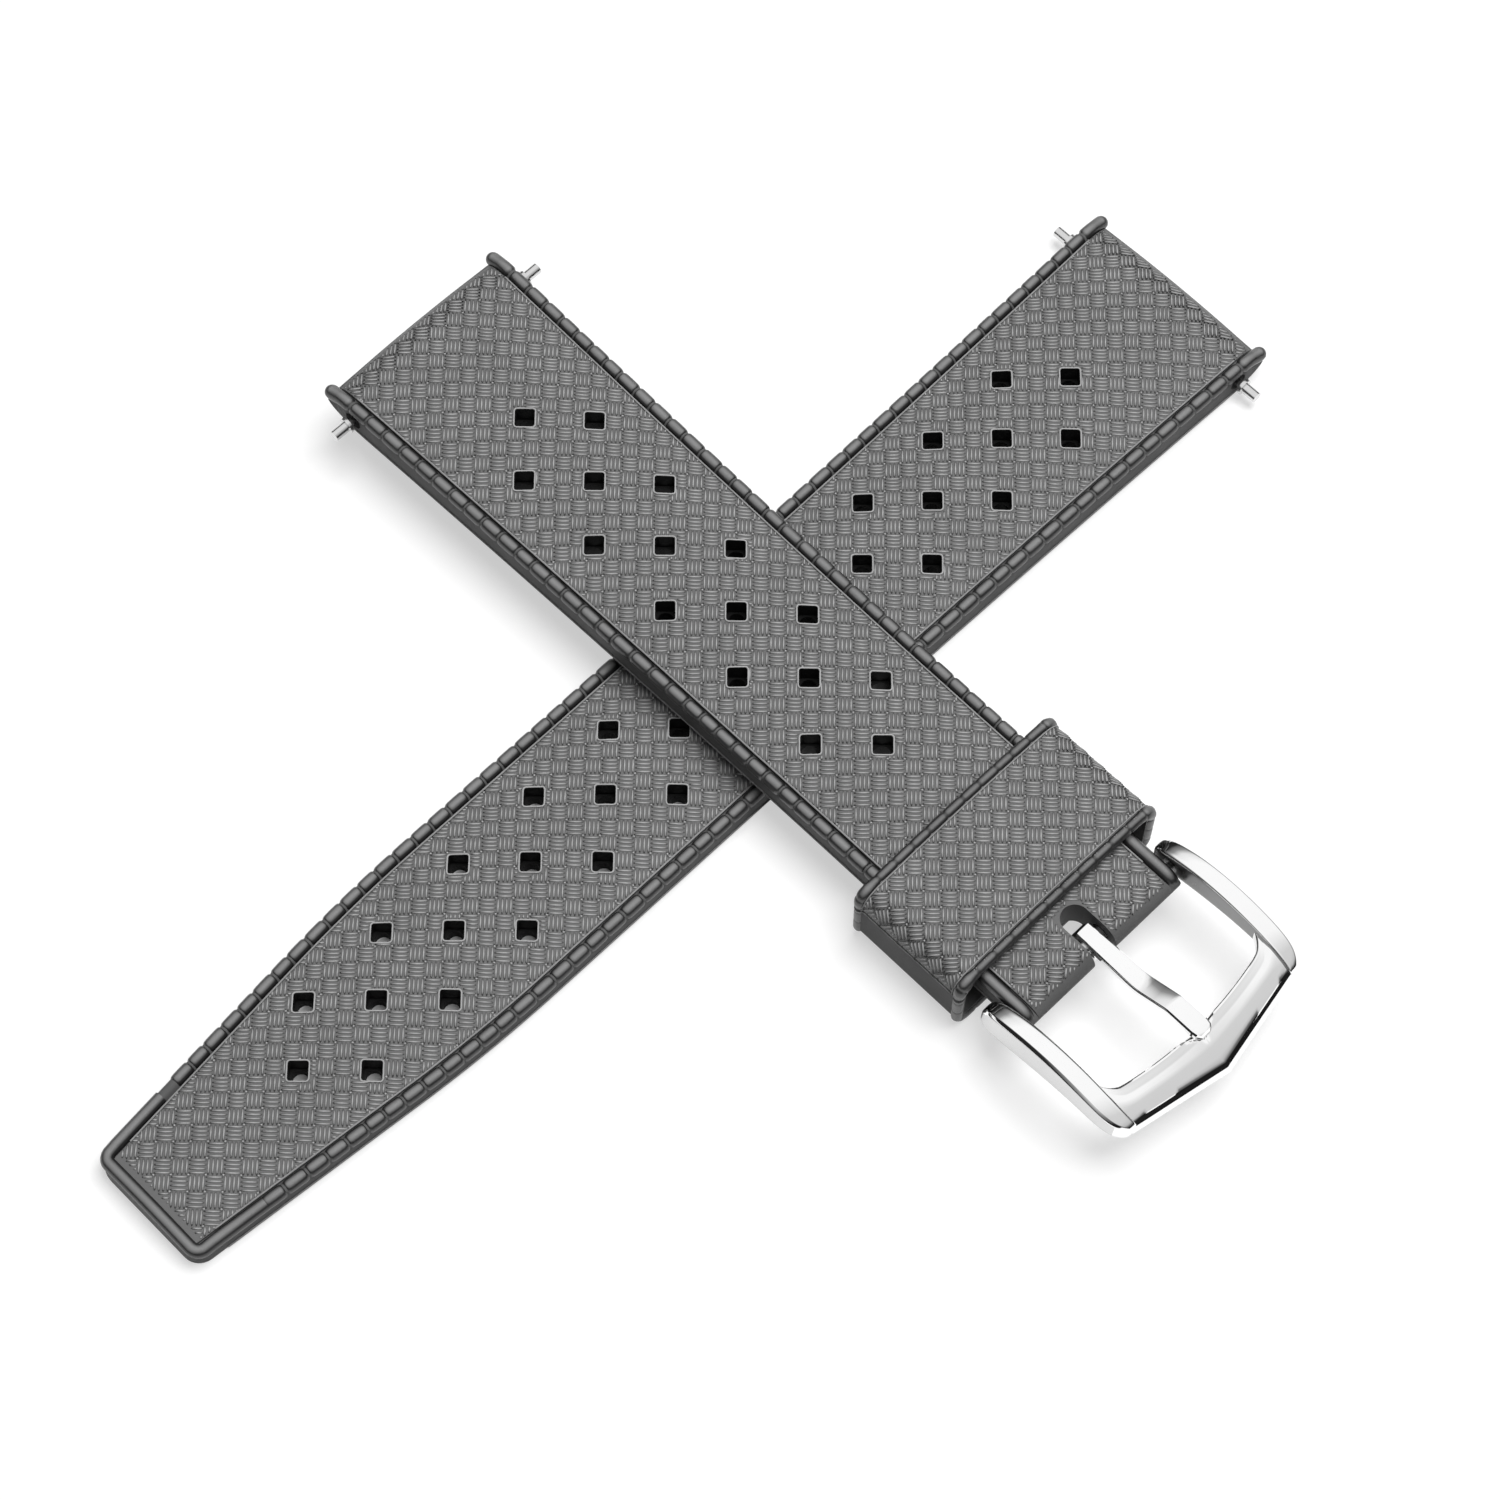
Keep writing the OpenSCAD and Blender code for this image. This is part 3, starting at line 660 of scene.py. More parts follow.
def half_ring(w, t):
    """One side of a section, from the middle of the underside round to the crest."""
    wall = w - WALL_INSET
    centre = t - crown_drop(w - 2 * BEAD_RADIUS) + BEAD_RISE - BEAD_RADIUS
    ring = [(k * (wall - FOOT_ROUND), 0) for k in (0, 0.35, 0.7, 1)]
    ring += [(wall - 0.07, 0.07), (wall, FOOT_ROUND)]
    ring += arc(w - BEAD_RADIUS, centre, CORE_RADIUS, -40, 155, 13)
    side = w - 2 * BEAD_RADIUS
    surface = t - crown_drop(side)
    ring += [(side + 0.06, surface - GROOVE_DEPTH), (side - 0.05, surface - GROOVE_DEPTH),
             (side - GROOVE_WIDTH + 0.02, surface - 0.2)]
    edge = side - GROOVE_WIDTH
    ring += [(edge * (1 - k / FIELD_STEPS), t - crown_drop(edge * (1 - k / FIELD_STEPS)) - FIELD_SINK)
             for k in range(FIELD_STEPS)]
    ring.append((0, t - FIELD_SINK))
    return ring


def full_ring(w, t):
    side = half_ring(w, t)
    return side + [(-y, z) for y, z in reversed(side[1:-1])]


def body_sections(half, stations):
    """Sections of a half along its length. The tail's tip is rounded like its bead."""
    sections = []
    for u in stations:
        v = TAIL_LENGTH - u
        ring = []
        for y, z in full_ring(half.width(u), half.thickness(u)):
            if half is TAIL and v < BEAD_RADIUS:
                core = half.bead_height(u, y) + CORE_RADIUS * end_round(v, BEAD_RADIUS, 0.0001)
                z = min(z, core)
            ring.append((u, y, half.roll(u, z)))
        sections.append(ring)
    return sections


def even(start, end, count):
    return [start + (end - start) * i / count for i in range(count)]


def nose_stations():
    turns = [NOSE_TOP * (1 - cosine(a)) for a in (0, 8, 16, 26, 38, 52, 66, 78, 90)]
    return turns + [2.9, 3.5, 4.0, NOSE_UNDER]


TAIL_STATIONS = (nose_stations() + even(5.5, 84, 45) + even(84, 118.6, 28)
                 + [TAIL_LENGTH - v for v in (TIP_CORNER, 1.1, 0.8, 0.6, 0.42, 0.26, 0.13, 0.04, 0)])
BUCKLE_STATIONS = (nose_stations() + even(5.5, 80, 42)
                   + [BUCKLE_HALF_LENGTH + BAR_END_ROLL * sine(a)
                      for a in (0, 12, 24, 36, 48, 60, 70, 79, 86, 90)])


def closed_prism(bm, low, high):
    """A closed solid between two outlines with equal numbers of points."""
    a = [bm.verts.new(p) for p in low]
    b = [bm.verts.new(p) for p in high]
    bm.faces.new(list(reversed(a)))
    bm.faces.new(b)
    for i in range(len(a)):
        j = (i + 1) % len(a)
        bm.faces.new((a[i], a[j], b[j], b[i]))


def upright_prism(bm, outline, low, high):
    closed_prism(bm, [(x, y, low) for x, y in outline], [(x, y, high) for x, y in outline])


def bar_tunnel(bm, u, z):
    """A rod across the strap, as wide as the tunnel of a spring bar's tube."""
    rim = circle(u, z, TUNNEL_RADIUS, 24)
    closed_prism(bm, [(x, -12, up) for x, up in rim], [(x, 12, up) for x, up in rim])


def hole_outline(u, y):
    """Outline of a square vent hole, which stands on its corner and has rounded corners."""
    inner = (HOLE_SIZE / 2 - HOLE_CORNER) * ROOT2
    outline = []
    for turn in (45, 135, 225, 315):
        outline += arc(u + inner * cosine(turn + 45), y + inner * sine(turn + 45),
                       HOLE_CORNER, turn, turn + 90, 4)
    return outline


def cutter(half, part):
    """What is cut out of a half: its squares and slot, or its round holes and bar tunnels."""
    bm = bmesh.new()
    above = LUG_THICKNESS + 1
    for u, y in half.holes():
        floor = half.thickness(u) - crown_drop(y) - HOLE_DEPTH
        if part == "squares":
            upright_prism(bm, hole_outline(u, y), floor, above)
        else:
            upright_prism(bm, circle(u, y, HOLE_FLOOR / 2, 20), -1, floor + 0.3)
    if part == "rounds":
        bar_tunnel(bm, LUG_BAR_INSET, LUG_BAR_HEIGHT)
        if half is BUCKLE_HALF:
            bar_tunnel(bm, BUCKLE_HALF_LENGTH, BUCKLE_BAR_HEIGHT)
    elif half is BUCKLE_HALF:
        r = SLOT_WIDTH / 2
        end = BUCKLE_HALF_END + 1
        upright_prism(bm, arc(SLOT_ROOT, 0, r, 90, 270, 18) + [(end, -r), (end, r)], -1, above)
    mesh = bpy.data.meshes.new(half.name + "_cut")
    bm.to_mesh(mesh)
    bm.free()
    for vertex in mesh.vertices:
        vertex.co = half.place(vertex.co)
    turn_outwards(mesh)
    return put(half.name + "_cut", mesh)


def cut_out(piece, cutter):
    modifier = piece.modifiers.new("cut", "BOOLEAN")
    modifier.solver = "MANIFOLD"
    modifier.operation = "DIFFERENCE"
    modifier.object = cutter
    apply_modifiers(piece)
    bpy.data.objects.remove(cutter)


GRAIN_START = 0.7


def in_hole(half, u, y):
    """Whether a place lies inside one of the square vent holes, which stand on their corners."""
    return any(abs(u - a) + abs(y - b) < HOLE_SIZE / ROOT2 + 0.02 for a, b in half.holes())


def body_finish(half, face):
    """Slot of a face of the body: 0 plain, 1 sunk floor of the woven field, 2 inside of a hole, which is
    painted dark as shade.
    """
    u, y, z = half.lift(face.center)
    if not GRAIN_START < u < half.length - 0.9 or abs(y) > half.field_limit(u):
        return 0
    depth = half.field(u, y).z - z
    if face.normal.z > 0.2 and depth < 0.3:
        return 1
    return 2 if depth > 0.1 and in_hole(half, u, y) else 0


def strap_body(half, stations):
    piece = new_piece(half.name + "_body", skin(body_sections(half, stations)), [RUBBER], half.place)
    for part in ("squares", "rounds"):
        cut_out(piece, cutter(half, part))
    piece.data.materials.clear()
    for material in (RUBBER, GROUND, HOLE_PAINTED_SHADE):
        piece.data.materials.append(material)
    for face in piece.data.polygons:
        face.material_index = body_finish(half, face)
    smooth(piece, 32)
    settle(piece, half.body, half.node)


# Edge beads

# Share along each notch and the bead's swell there; the bead thins in its notches, and the thinner swell is
# also painted darker as shade.
NOTCH_STATIONS = [(0, 0.66), (0.03, 0.7), (0.065, 0.88), (0.12, 0.97), (0.22, 1), (0.5, 1.01),
                  (0.78, 1), (0.88, 0.97), (0.94, 0.88), (0.975, 0.7)]
NOTCH_STEP = 1.95
LUG_BULB = 2.7
BULB_REACH = 0.5
FLASH_WIRE = 0.17
FLASH_FOOT = 0.34


def notch_places(rng, start, end):
    """Where the notches of one bead lie, with the slight unevenness of a hand-cut mould."""
    places = [start]
    while places[-1] + NOTCH_STEP * 1.4 < end:
        places.append(places[-1] + NOTCH_STEP * rng.uniform(0.9, 1.12))
    return places


def edge_point(half, u, side):
    """Middle of the bead at a distance u from the watch end."""
    w = half.width(max(0, u))
    return (u, side * (w - BEAD_RADIUS), half.roll(max(0.42, u), half.bead_height(max(0, u))))


def side_bead(half, side, rng, last):
    """Points of one side bead: a plain bulb that stands proud of the watch end, then notched lengths."""
    line = [(0.7 * (1 - cosine(a)) - BULB_REACH, max(0.1, sine(a)) * 1.1)
            for a in (0, 14, 28, 42, 56, 70, 90)]
    line += [(0.7, 1.08)] + [(u, 1.03) for u in even(1.2, LUG_BULB - 0.1, 6)]
    places = notch_places(rng, LUG_BULB, last)
    line += [(start + share * (end - start), swell) for start, end in zip(places, places[1:])
             for share, swell in NOTCH_STATIONS]
    return [(edge_point(half, u, side), swell) for u, swell in line + [(places[-1], 0.72)]]


def tip_bead(half, start):
    """The plain bead that runs round the tail's tip from one side to the other."""
    right = [edge_point(half, u, 1) for u in even(start, TAIL_LENGTH - TIP_CORNER, 8)]
    w = half.width(TAIL_LENGTH - TIP_CORNER) - TIP_CORNER
    r = TIP_CORNER - BEAD_RADIUS
    middle = TAIL_LENGTH - TIP_CORNER
    right += [(u, y, half.bead_height(middle, y)) for u, y in arc(middle, w, r, 90, 0, 6)]
    front = TAIL_LENGTH - BEAD_RADIUS
    right += [(front, w * k, half.bead_height(front, w * k)) for k in (0.8, 0.6, 0.4, 0.2)]
    centre = [(front, 0, half.bead_height(front, 0))]
    left = [(u, -y, z) for u, y, z in reversed(right)]
    return [(p, 1.0) for p in right + centre + left]


def bar_end_bead(half, start, side):
    """The side bead rolls down round the bar's end and thins out below."""
    line = []
    for u in even(start, BUCKLE_HALF_LENGTH, 4):
        line.append((edge_point(half, u, side), 1.0))
    w = half.width(BUCKLE_HALF_LENGTH) - BEAD_RADIUS
    reach = half.bead_height(BUCKLE_HALF_LENGTH) - BAR_END_ROLL
    for a in range(0, 121, 12):
        u = BUCKLE_HALF_LENGTH + (BAR_END_ROLL - BEAD_RADIUS) * sine(a)
        z = BAR_END_ROLL + reach * cosine(a)
        line.append(((u, side * w, z), 1.0 if a < 100 else 0.86))
    return line


def strap_beads(half, last):
    rng = random.Random(7 if half is TAIL else 11)
    lines = []
    for side in (-1, 1):
        bead = side_bead(half, side, rng, last)
        if half is BUCKLE_HALF:
            bead += bar_end_bead(half, bead[-1][0][0] + 0.15, side)
        lines.append((bead, False))
    if half is TAIL:
        lines.append((tip_bead(half, last - 1.2), False))
    bead_lines(half.name + "_beads", lines, half.place, half.body, 2 * BEAD_RADIUS, 14, BEAD_RUBBER_PAINTED_LIGHT)


def flash_lines(half, last):
    """Thin raised mould lines, painted pale as highlights: one between bead and weave, one along the foot of
    each side wall.
    """
    lines = []
    for side in (-1, 1):
        inner = []
        foot = []
        for u in even(2.6, last, int(last)):
            y = half.field_limit(u) - 0.03
            inner.append(((u, side * y, half.field(u, y).z), 1.0))
            foot.append(((u, side * (half.width(u) - WALL_INSET + 0.01), half.roll(u, FLASH_FOOT)), 1.0))
        lines += [(inner, False), (foot, False)]
    bead_lines(half.name + "_flash_lines", lines, half.place, half.body, FLASH_WIRE, 6, LINE_RUBBER_PAINTED_PALE)


# Woven grain

RISING = (1 / ROOT2, 1 / ROOT2)
FALLING = (-1 / ROOT2, 1 / ROOT2)


def to_strap(p, q):
    return (p - q) / ROOT2, (p + q) / ROOT2


def to_lattice(u, y):
    return (u + y) / ROOT2, (y - u) / ROOT2


def clip_holes(stretch, across, holes):
    """What is left of one rib's stretch beside the holes and their rims."""
    kept = [stretch]
    for along, beside in holes:
        if abs(across - beside) < HOLE_REACH:
            halves = [((a, min(b, along - HOLE_REACH)), (max(a, along + HOLE_REACH), b)) for a, b in kept]
            kept = [(a, b) for pair in halves for a, b in pair if a < b]
    return kept


def clip_field(a, b, point_at, inside):
    """The part of a stretch that lies inside the field, or nothing."""
    shares = [a + (b - a) * i / CLIP_STEPS for i in range(CLIP_STEPS + 1)]
    good = [s for s in shares if inside(*point_at(s))]
    if len(good) < 3:
        return None
    return good[0], good[-1]


class Grain:
    """Basket weave on a surface: cells of parallel ribs that take turns in direction."""

    def __init__(self, surface, inside, fade, holes, phase, ranges, place, body):
        self.surface = surface
        self.inside = inside
        self.fade = fade
        self.holes = [to_lattice(u, y) for u, y in holes]
        self.phase = phase
        self.ranges = ranges
        self.place = place
        self.body = body

    def slopes(self, u, y):
        """The surface's directions along and across the strap."""
        du = self.surface(u + SLOPE_STEP, y) - self.surface(u - SLOPE_STEP, y)
        dy = self.surface(u, y + SLOPE_STEP) - self.surface(u, y - SLOPE_STEP)
        return du.normalized(), dy.normalized()

    def normal(self, u, y):
        du, dy = self.slopes(u, y)
        return du.cross(dy).normalized()

    def frame_at(self, u, y, direction):
        """Turn of a rib that lies along a direction of the surface, in the row frame."""
        up = self.normal(u, y)
        du, dy = self.slopes(u, y)
        side = up.cross(du * direction[0] + dy * direction[1]).normalized()
        origin = self.place(Vector((0, 0, 0)))
        axes = [(self.place(axis) - origin).normalized() for axis in (side.cross(up), side, up)]
        return Matrix(axes).transposed().to_euler()

    def lattice(self):
        """Numbers of all cells that the woven stretch may hold."""
        corners = [to_lattice(u, y) for u in self.ranges[0] for y in self.ranges[1]]
        rows = []
        for k in (0, 1):
            places = [corner[k] / CELL for corner in corners]
            rows.append(range(int(min(places)) - 1, int(max(places)) + 2))
        return [(i, j) for i in rows[0] for j in rows[1]]

    def ribs(self):
        """Middle, direction and length of every rib that the field holds."""
        for i, j in self.lattice():
            p = (i + 0.5) * CELL + self.phase[0]
            q = (j + 0.5) * CELL + self.phase[1]
            yield from self.cell(p, q, (i + j) % 2)

    def cell(self, p, q, crosswise):
        for k in range(RIBS_IN_CELL):
            offset = (k - (RIBS_IN_CELL - 1) / 2) * CELL / RIBS_IN_CELL
            along, across = (q, p + offset) if crosswise else (p, q + offset)
            holes = [(b, a) if crosswise else (a, b) for a, b in self.holes
                     if abs(a - p) < NEAR_HOLE and abs(b - q) < NEAR_HOLE]
            ends = (along - CELL / 2, along + CELL / 2)

            def point_at(s):
                return to_strap(across, s) if crosswise else to_strap(s, across)

            for a, b in clip_holes(ends, across, holes):
                kept = clip_field(a, b, point_at, self.inside)
                if kept and kept[1] - kept[0] > SHORTEST_RIB:
                    u, y = point_at((kept[0] + kept[1]) / 2)
                    yield u, y, FALLING if crosswise else RISING, kept[1] - kept[0]

    def weave(self, name):
        """Ribs, which get flatter where the grain fades."""
        points = []
        turns = []
        spans = []
        for u, y, direction, length in self.ribs():
            share = self.fade(u, y)
            if share < FLATTEST_RIB:
                continue
            points.append(self.place(self.surface(u, y) - self.normal(u, y) * FIELD_SINK))
            turns.append(self.frame_at(u, y, direction))
            spans.append((length * MM, 1, share))
        piece = loose_piece(name + "_weave", points, turn=turns, span=spans)
        RIBS.make(piece, WEAVE_WITH_PAINTED_CREST_LIGHT, width=RIB_WIDTH * MM, lift=RIB_LIFT * MM, root=RIB_ROOT * MM,
                  sides=4, spans=4)
        settle(piece, self.body)

    def pips(self, name):
        """Raised dots where the cells' corners meet, painted pale as highlights."""
        points = []
        for i, j in self.lattice():
            p = i * CELL + self.phase[0]
            q = j * CELL + self.phase[1]
            u, y = to_strap(p, q)
            cut = any(abs(a - p) < HOLE_REACH and abs(b - q) < HOLE_REACH for a, b in self.holes)
            if self.inside(u, y) and not cut and self.fade(u, y) > PIPS_FROM:
                points.append(self.place(self.surface(u, y) - self.normal(u, y) * PIP_RADIUS / 2))
        piece = loose_piece(name + "_pips", points)
        PIPS.make(piece, WEAVE_WITH_PAINTED_CREST_LIGHT, radius=PIP_RADIUS * MM)
        settle(piece, self.body)


def ease(x, low, high):
    k = min(1, max(0, (x - low) / (high - low)))
    return k * k * (3 - 2 * k)


def strap_grain(half, start, end):
    def inside(u, y):
        if not start < u < end or abs(y) > half.field_limit(u) - 0.02:
            return False
        in_slot = half is BUCKLE_HALF and u > SLOT_ROOT - SLOT_WIDTH / 2 - 0.1
        return not (in_slot and abs(y) < SLOT_WIDTH / 2 + 0.1)

    def fade(u, y):
        share = 0.25 + 0.75 * ease(u, start, start + 3)
        if half is BUCKLE_HALF:
            share *= ease(-u, -BUCKLE_HALF_END, -BUCKLE_HALF_END + 1.2)
        return share

    grain = Grain(half.field, inside, fade, half.holes(), (0.3, 0.2), ((start, end), (-10, 10)),
                  half.place, half.body)
    grain.weave(half.name)
    grain.pips(half.name)
    rims = []
    turns = []
    for u, y in half.holes():
        rims.append(half.place(half.field(u, y) - Vector((0, 0, 0.05))))
        turns.append(grain.frame_at(u, y, RISING))
    piece = loose_piece(half.name + "_hole_rims", rims, turn=turns)
    RIMS.make(piece, WEAVE_WITH_PAINTED_CREST_LIGHT, size=(HOLE_SIZE + 0.12) * MM, corner=(HOLE_CORNER + 0.06) * MM,
              wire=RIM_WIRE * MM)
    settle(piece, half.body)


# Keeper

KEEPER_LOW = 0.1 + KEEPER_RIM_RISE - BUCKLE_HALF_Z
KEEPER_HIGH = BAR_END_THICKNESS + 0.1 + KEEPER_WALL


def keeper_outline(grow, fine=2):
    """Closed outline across the strap, grown outwards from the keeper's outer face."""
    half = KEEPER_HALF + grow
    top = KEEPER_CROWN + grow
    corner = KEEPER_CORNER + grow
    foot = KEEPER_FOOT + grow
    low = KEEPER_LOW - grow
    top_centre = KEEPER_HIGH + grow - top
    y = half - corner
    z = top_centre + math.sqrt((top - corner) ** 2 - y * y)
    lean = math.degrees(math.atan2(z - top_centre, y))
    right = [(y * k / 4, low) for k in range(1, 4)]
    right += arc(half - foot, low + foot, foot, -90, 0, 5 * fine)
    right += arc(y, z, corner, 0, lean, 6 * fine)
    right += arc(0, top_centre, top, lean, 90, 9 * fine)[1:]
    left = [(-a, b) for a, b in reversed(right[:-1])]
    return right + left + [(0, low)]


KEEPER_SIDE = KEEPER_HALF - KEEPER_CORNER
KEEPER_TOP_CENTRE = KEEPER_HIGH - KEEPER_CROWN
KEEPER_SHOULDER = KEEPER_TOP_CENTRE + math.sqrt((KEEPER_CROWN - KEEPER_CORNER) ** 2 - KEEPER_SIDE ** 2)
KEEPER_LEAN = math.atan2(KEEPER_SHOULDER - KEEPER_TOP_CENTRE, KEEPER_SIDE)
KEEPER_TOP_LENGTH = KEEPER_CROWN * (math.pi / 2 - KEEPER_LEAN)
KEEPER_WOVEN = KEEPER_TOP_LENGTH + KEEPER_CORNER * KEEPER_LEAN
KEEPER_FIRST = KEEPER_START + 2 * KEEPER_RIM_RADIUS
KEEPER_LAST = KEEPER_END - 2 * KEEPER_RIM_RADIUS
KEEPER_WIRE = 0.13
DOT_STEP = 1.16
DOT_SHIFT = 0.11
DOT_INSET = 0.16
DOT_RADIUS = 0.07


def keeper_surface(u, s):
    """Point of the keeper's outer face at a distance s from its crest, measured along the face."""
    side = 1 if s > 0 else -1
    s = abs(s)
    if s < KEEPER_TOP_LENGTH:
        turn = math.pi / 2 - s / KEEPER_CROWN
        y = KEEPER_CROWN * math.cos(turn)
        return Vector((u, side * y, KEEPER_TOP_CENTRE + KEEPER_CROWN * math.sin(turn)))
    turn = KEEPER_LEAN - (s - KEEPER_TOP_LENGTH) / KEEPER_CORNER
    if turn > 0:
        return Vector((u, side * (KEEPER_SIDE + KEEPER_CORNER * math.cos(turn)),
                       KEEPER_SHOULDER + KEEPER_CORNER * math.sin(turn)))
    return Vector((u, side * KEEPER_HALF, KEEPER_SHOULDER - (s - KEEPER_WOVEN)))


def keeper_shell():
    """Plain loop under the weave and the rims: its outer face one way and its inner face back."""
    outer = keeper_outline(-FIELD_SINK)
    inner = keeper_outline(-KEEPER_WALL)
    stations = [KEEPER_START + 0.3] + even(KEEPER_START + 1, KEEPER_END - 1, 8) + [KEEPER_END - 0.3]
    sections = [[(u, y, z) for y, z in outer] for u in stations]
    sections += [[(u, y, z) for y, z in inner] for u in reversed(stations)]
    shell = new_piece("keeper_shell", skin(sections, closed=True), [RUBBER, GROUND], lay_keeper)
    for face in shell.data.polygons:
        u, y, z = lift_buckle_half(face.center)
        top = face.normal.z > 0.02 and z > KEEPER_SHOULDER
        face.material_index = int(top and KEEPER_START + 0.5 < u < KEEPER_END - 0.5)
    smooth(shell)
    settle(shell, "keeper_loop", "keeper")


def keeper_lines():
    """Mould lines painted pale as highlights: one beside each rim, and one where each side wall begins."""
    lines = []
    for side in (-1, 1):
        y = side * (KEEPER_HALF - 0.03)
        line = [((u, y, KEEPER_SHOULDER - 0.25), 1.0)
                for u in even(KEEPER_START + 0.5, KEEPER_END - 0.4, 20)]
        lines.append((line, False))
    for u in (KEEPER_FIRST, KEEPER_LAST):
        line = [(tuple(keeper_surface(u, KEEPER_WOVEN * k / 30)), 1.0) for k in range(-30, 31)]
        lines.append((line, False))
    bead_lines("keeper_flash_lines", lines, lay_keeper, "keeper_loop", KEEPER_WIRE, 6, LINE_RUBBER_PAINTED_PALE)


def keeper_grain():
    first = KEEPER_FIRST - 0.05
    last = KEEPER_LAST + 0.05

    def inside(u, s):
        return first < u < last and abs(s) < KEEPER_WOVEN - 0.1

    def fade(u, s):
        return 1 - 0.7 * ease(abs(s), KEEPER_TOP_LENGTH, KEEPER_WOVEN)

    grain = Grain(keeper_surface, inside, fade, [], (0.1, 0.5), ((first, last), (-13, 13)),
                  lay_keeper, "keeper_loop")
    grain.weave("keeper")
    grain.pips("keeper")


def corner_swell(y, z):
    """How much a rim thickens where it turns down at the upper corners."""
    if abs(y) < KEEPER_SIDE or z < KEEPER_SHOULDER - 0.3:
        return 1
    turn = math.degrees(math.atan2(z - KEEPER_SHOULDER, abs(y) - KEEPER_SIDE))
    return 1 + 0.24 * max(0, 1 - ((turn - 40) / 45) ** 2)


def keeper_rim(u, rng):
    """The notched bead round one end of the keeper, closed on itself."""
    path = keeper_outline(KEEPER_RIM_RISE - KEEPER_RIM_RADIUS, 3)
    lengths = [0]
    for a, b in zip(path, path[1:] + path[:1]):
        lengths.append(lengths[-1] + math.dist(a, b))
    whole = lengths[-1]
    count = round(whole / NOTCH_STEP)
    places = [whole * (i + rng.uniform(-0.06, 0.06)) / count for i in range(count)]
    places.append(places[0] + whole)
    line = []
    closed = path + path[:1]
    for start, end in zip(places, places[1:]):
        for share, swell in NOTCH_STATIONS:
            s = (start + share * (end - start)) % whole
            k = bisect.bisect(lengths, s) - 1
            part = (s - lengths[k]) / (lengths[k + 1] - lengths[k])
            y, z = [a + part * (b - a) for a, b in zip(closed[k], closed[k + 1])]
            # The swell sets the rim's thickness and, through the bead rubber, how pale its painted highlight
            # is.
            line.append(((u, y, z), (0.62 + 0.3 * swell) * corner_swell(y, z)))
    return line


def keeper_rims():
    """Both rims, and pairs of small dots, painted pale as highlights, on top of the one towards the buckle.
    """
    rng = random.Random(5)
    lines = []
    for u in (KEEPER_START + KEEPER_RIM_RADIUS, KEEPER_END - KEEPER_RIM_RADIUS):
        lines.append((keeper_rim(u, rng), True))
    bead_lines("keeper_rims", lines, lay_keeper, "keeper_loop", 2 * KEEPER_RIM_RADIUS, 14, BEAD_RUBBER_PAINTED_LIGHT)
    dots = []
    u = KEEPER_END - KEEPER_RIM_RADIUS - DOT_INSET
    for k in range(-8, 9):
        for shift in (-DOT_SHIFT, DOT_SHIFT):
            point = keeper_surface(u, k * DOT_STEP + shift)
            dots.append(lay_keeper(point + Vector((0, 0, KEEPER_RIM_RISE - 0.1))))
    piece = loose_piece("keeper_rim_dots", dots)
    PIPS.make(piece, LINE_RUBBER_PAINTED_PALE, radius=DOT_RADIUS * MM)
    settle(piece, "keeper_loop")


# Buckle

ARM_IN = 9.15
BUCKLE_REACH = 15.3
PLATE_IN = 11.3
PLATE_POINT = 1.7
PLATE_HOLLOW = 1.15
ARCH_RADIUS = 21
ARCH_RISE = 1.75
ARCH_MIDDLE = 6.5
PLATE_INNER_HEIGHT = 0.75
PLATE_OUTER_HEIGHT = 0.45
PLATE_DEPTH_BELOW = 0.85
TANG_REACH = 12.4


def arch(x):
    """Height of the buckle's arched middle surface above its bar."""
    return ARCH_RISE - ARCH_RADIUS + math.sqrt(ARCH_RADIUS ** 2 - (x - ARCH_MIDDLE) ** 2)


# Place along the arm, inner side, outer side, and top and bottom above the arch, from the rear end on
ARM_STATIONS = [(-1.93, 9.75, 10.5, 0.3, -0.6), (-1.75, 9.4, 10.8, 0.85, -1.1),
                (-1.3, 9.22, 11.0, 1.25, -1.5), (-0.4, 9.16, 11.14, 1.52, -1.68),
                (1.2, 9.15, 11.22, 1.68, -1.7), (3.2, 9.15, 11.25, 1.75, -1.66),
                (5.8, 9.15, 11.25, 1.66, -1.5), (8.2, 9.15, 11.24, 1.46, -1.26),
                (10.2, 9.15, 11.2, 1.26, -1.16), (11.6, 9.14, 11.08, 1.12, -1.14),
                (12.5, 9.1, 10.78, 1.0, -1.1), (13.1, 9.03, 10.3, 0.86, -1.02),
                (13.5, 8.95, 9.7, 0.66, -0.9)]

# Across and up, as shares of the arm's width and height: a broad top, a leaning outer wall
ARM_SECTION = [(0.02, 0.12), (0, 0.3), (0, 0.86), (0.02, 0.93), (0.06, 0.965), (0.14, 0.997), (0.3, 1.0),
               (0.47, 1.005), (0.62, 1.0), (0.73, 0.992), (0.755, 0.975), (0.875, 0.898), (0.89, 0.87),
               (0.9, 0.81), (0.95, 0.5), (1.0, 0.2), (0.97, 0.08), (0.86, 0.015), (0.5, 0), (0.16, 0.01)]


def arm_ring(station, side):
    x, inner, outer, top, low = station
    return [(x, side * (inner + a * (outer - inner)), arch(x) + low + b * (top - low))
            for a, b in ARM_SECTION]


def plate_inner(y):
    corner = max(0, abs(y) - 7.7) / 1.45
    return PLATE_IN - PLATE_HOLLOW * (y / ARM_IN) ** 2 - min(1, corner) ** 2


REST_DEPTH = 0.8
REST_LENGTH = 1.0
REST_SLOPE = 0.37


def rest_depth(x, y):
    """Depth of the V-shaped notch in the plate's inner edge that the tang rests over."""
    return max(0, REST_DEPTH * (1 - x / REST_LENGTH) - abs(y) * REST_SLOPE)


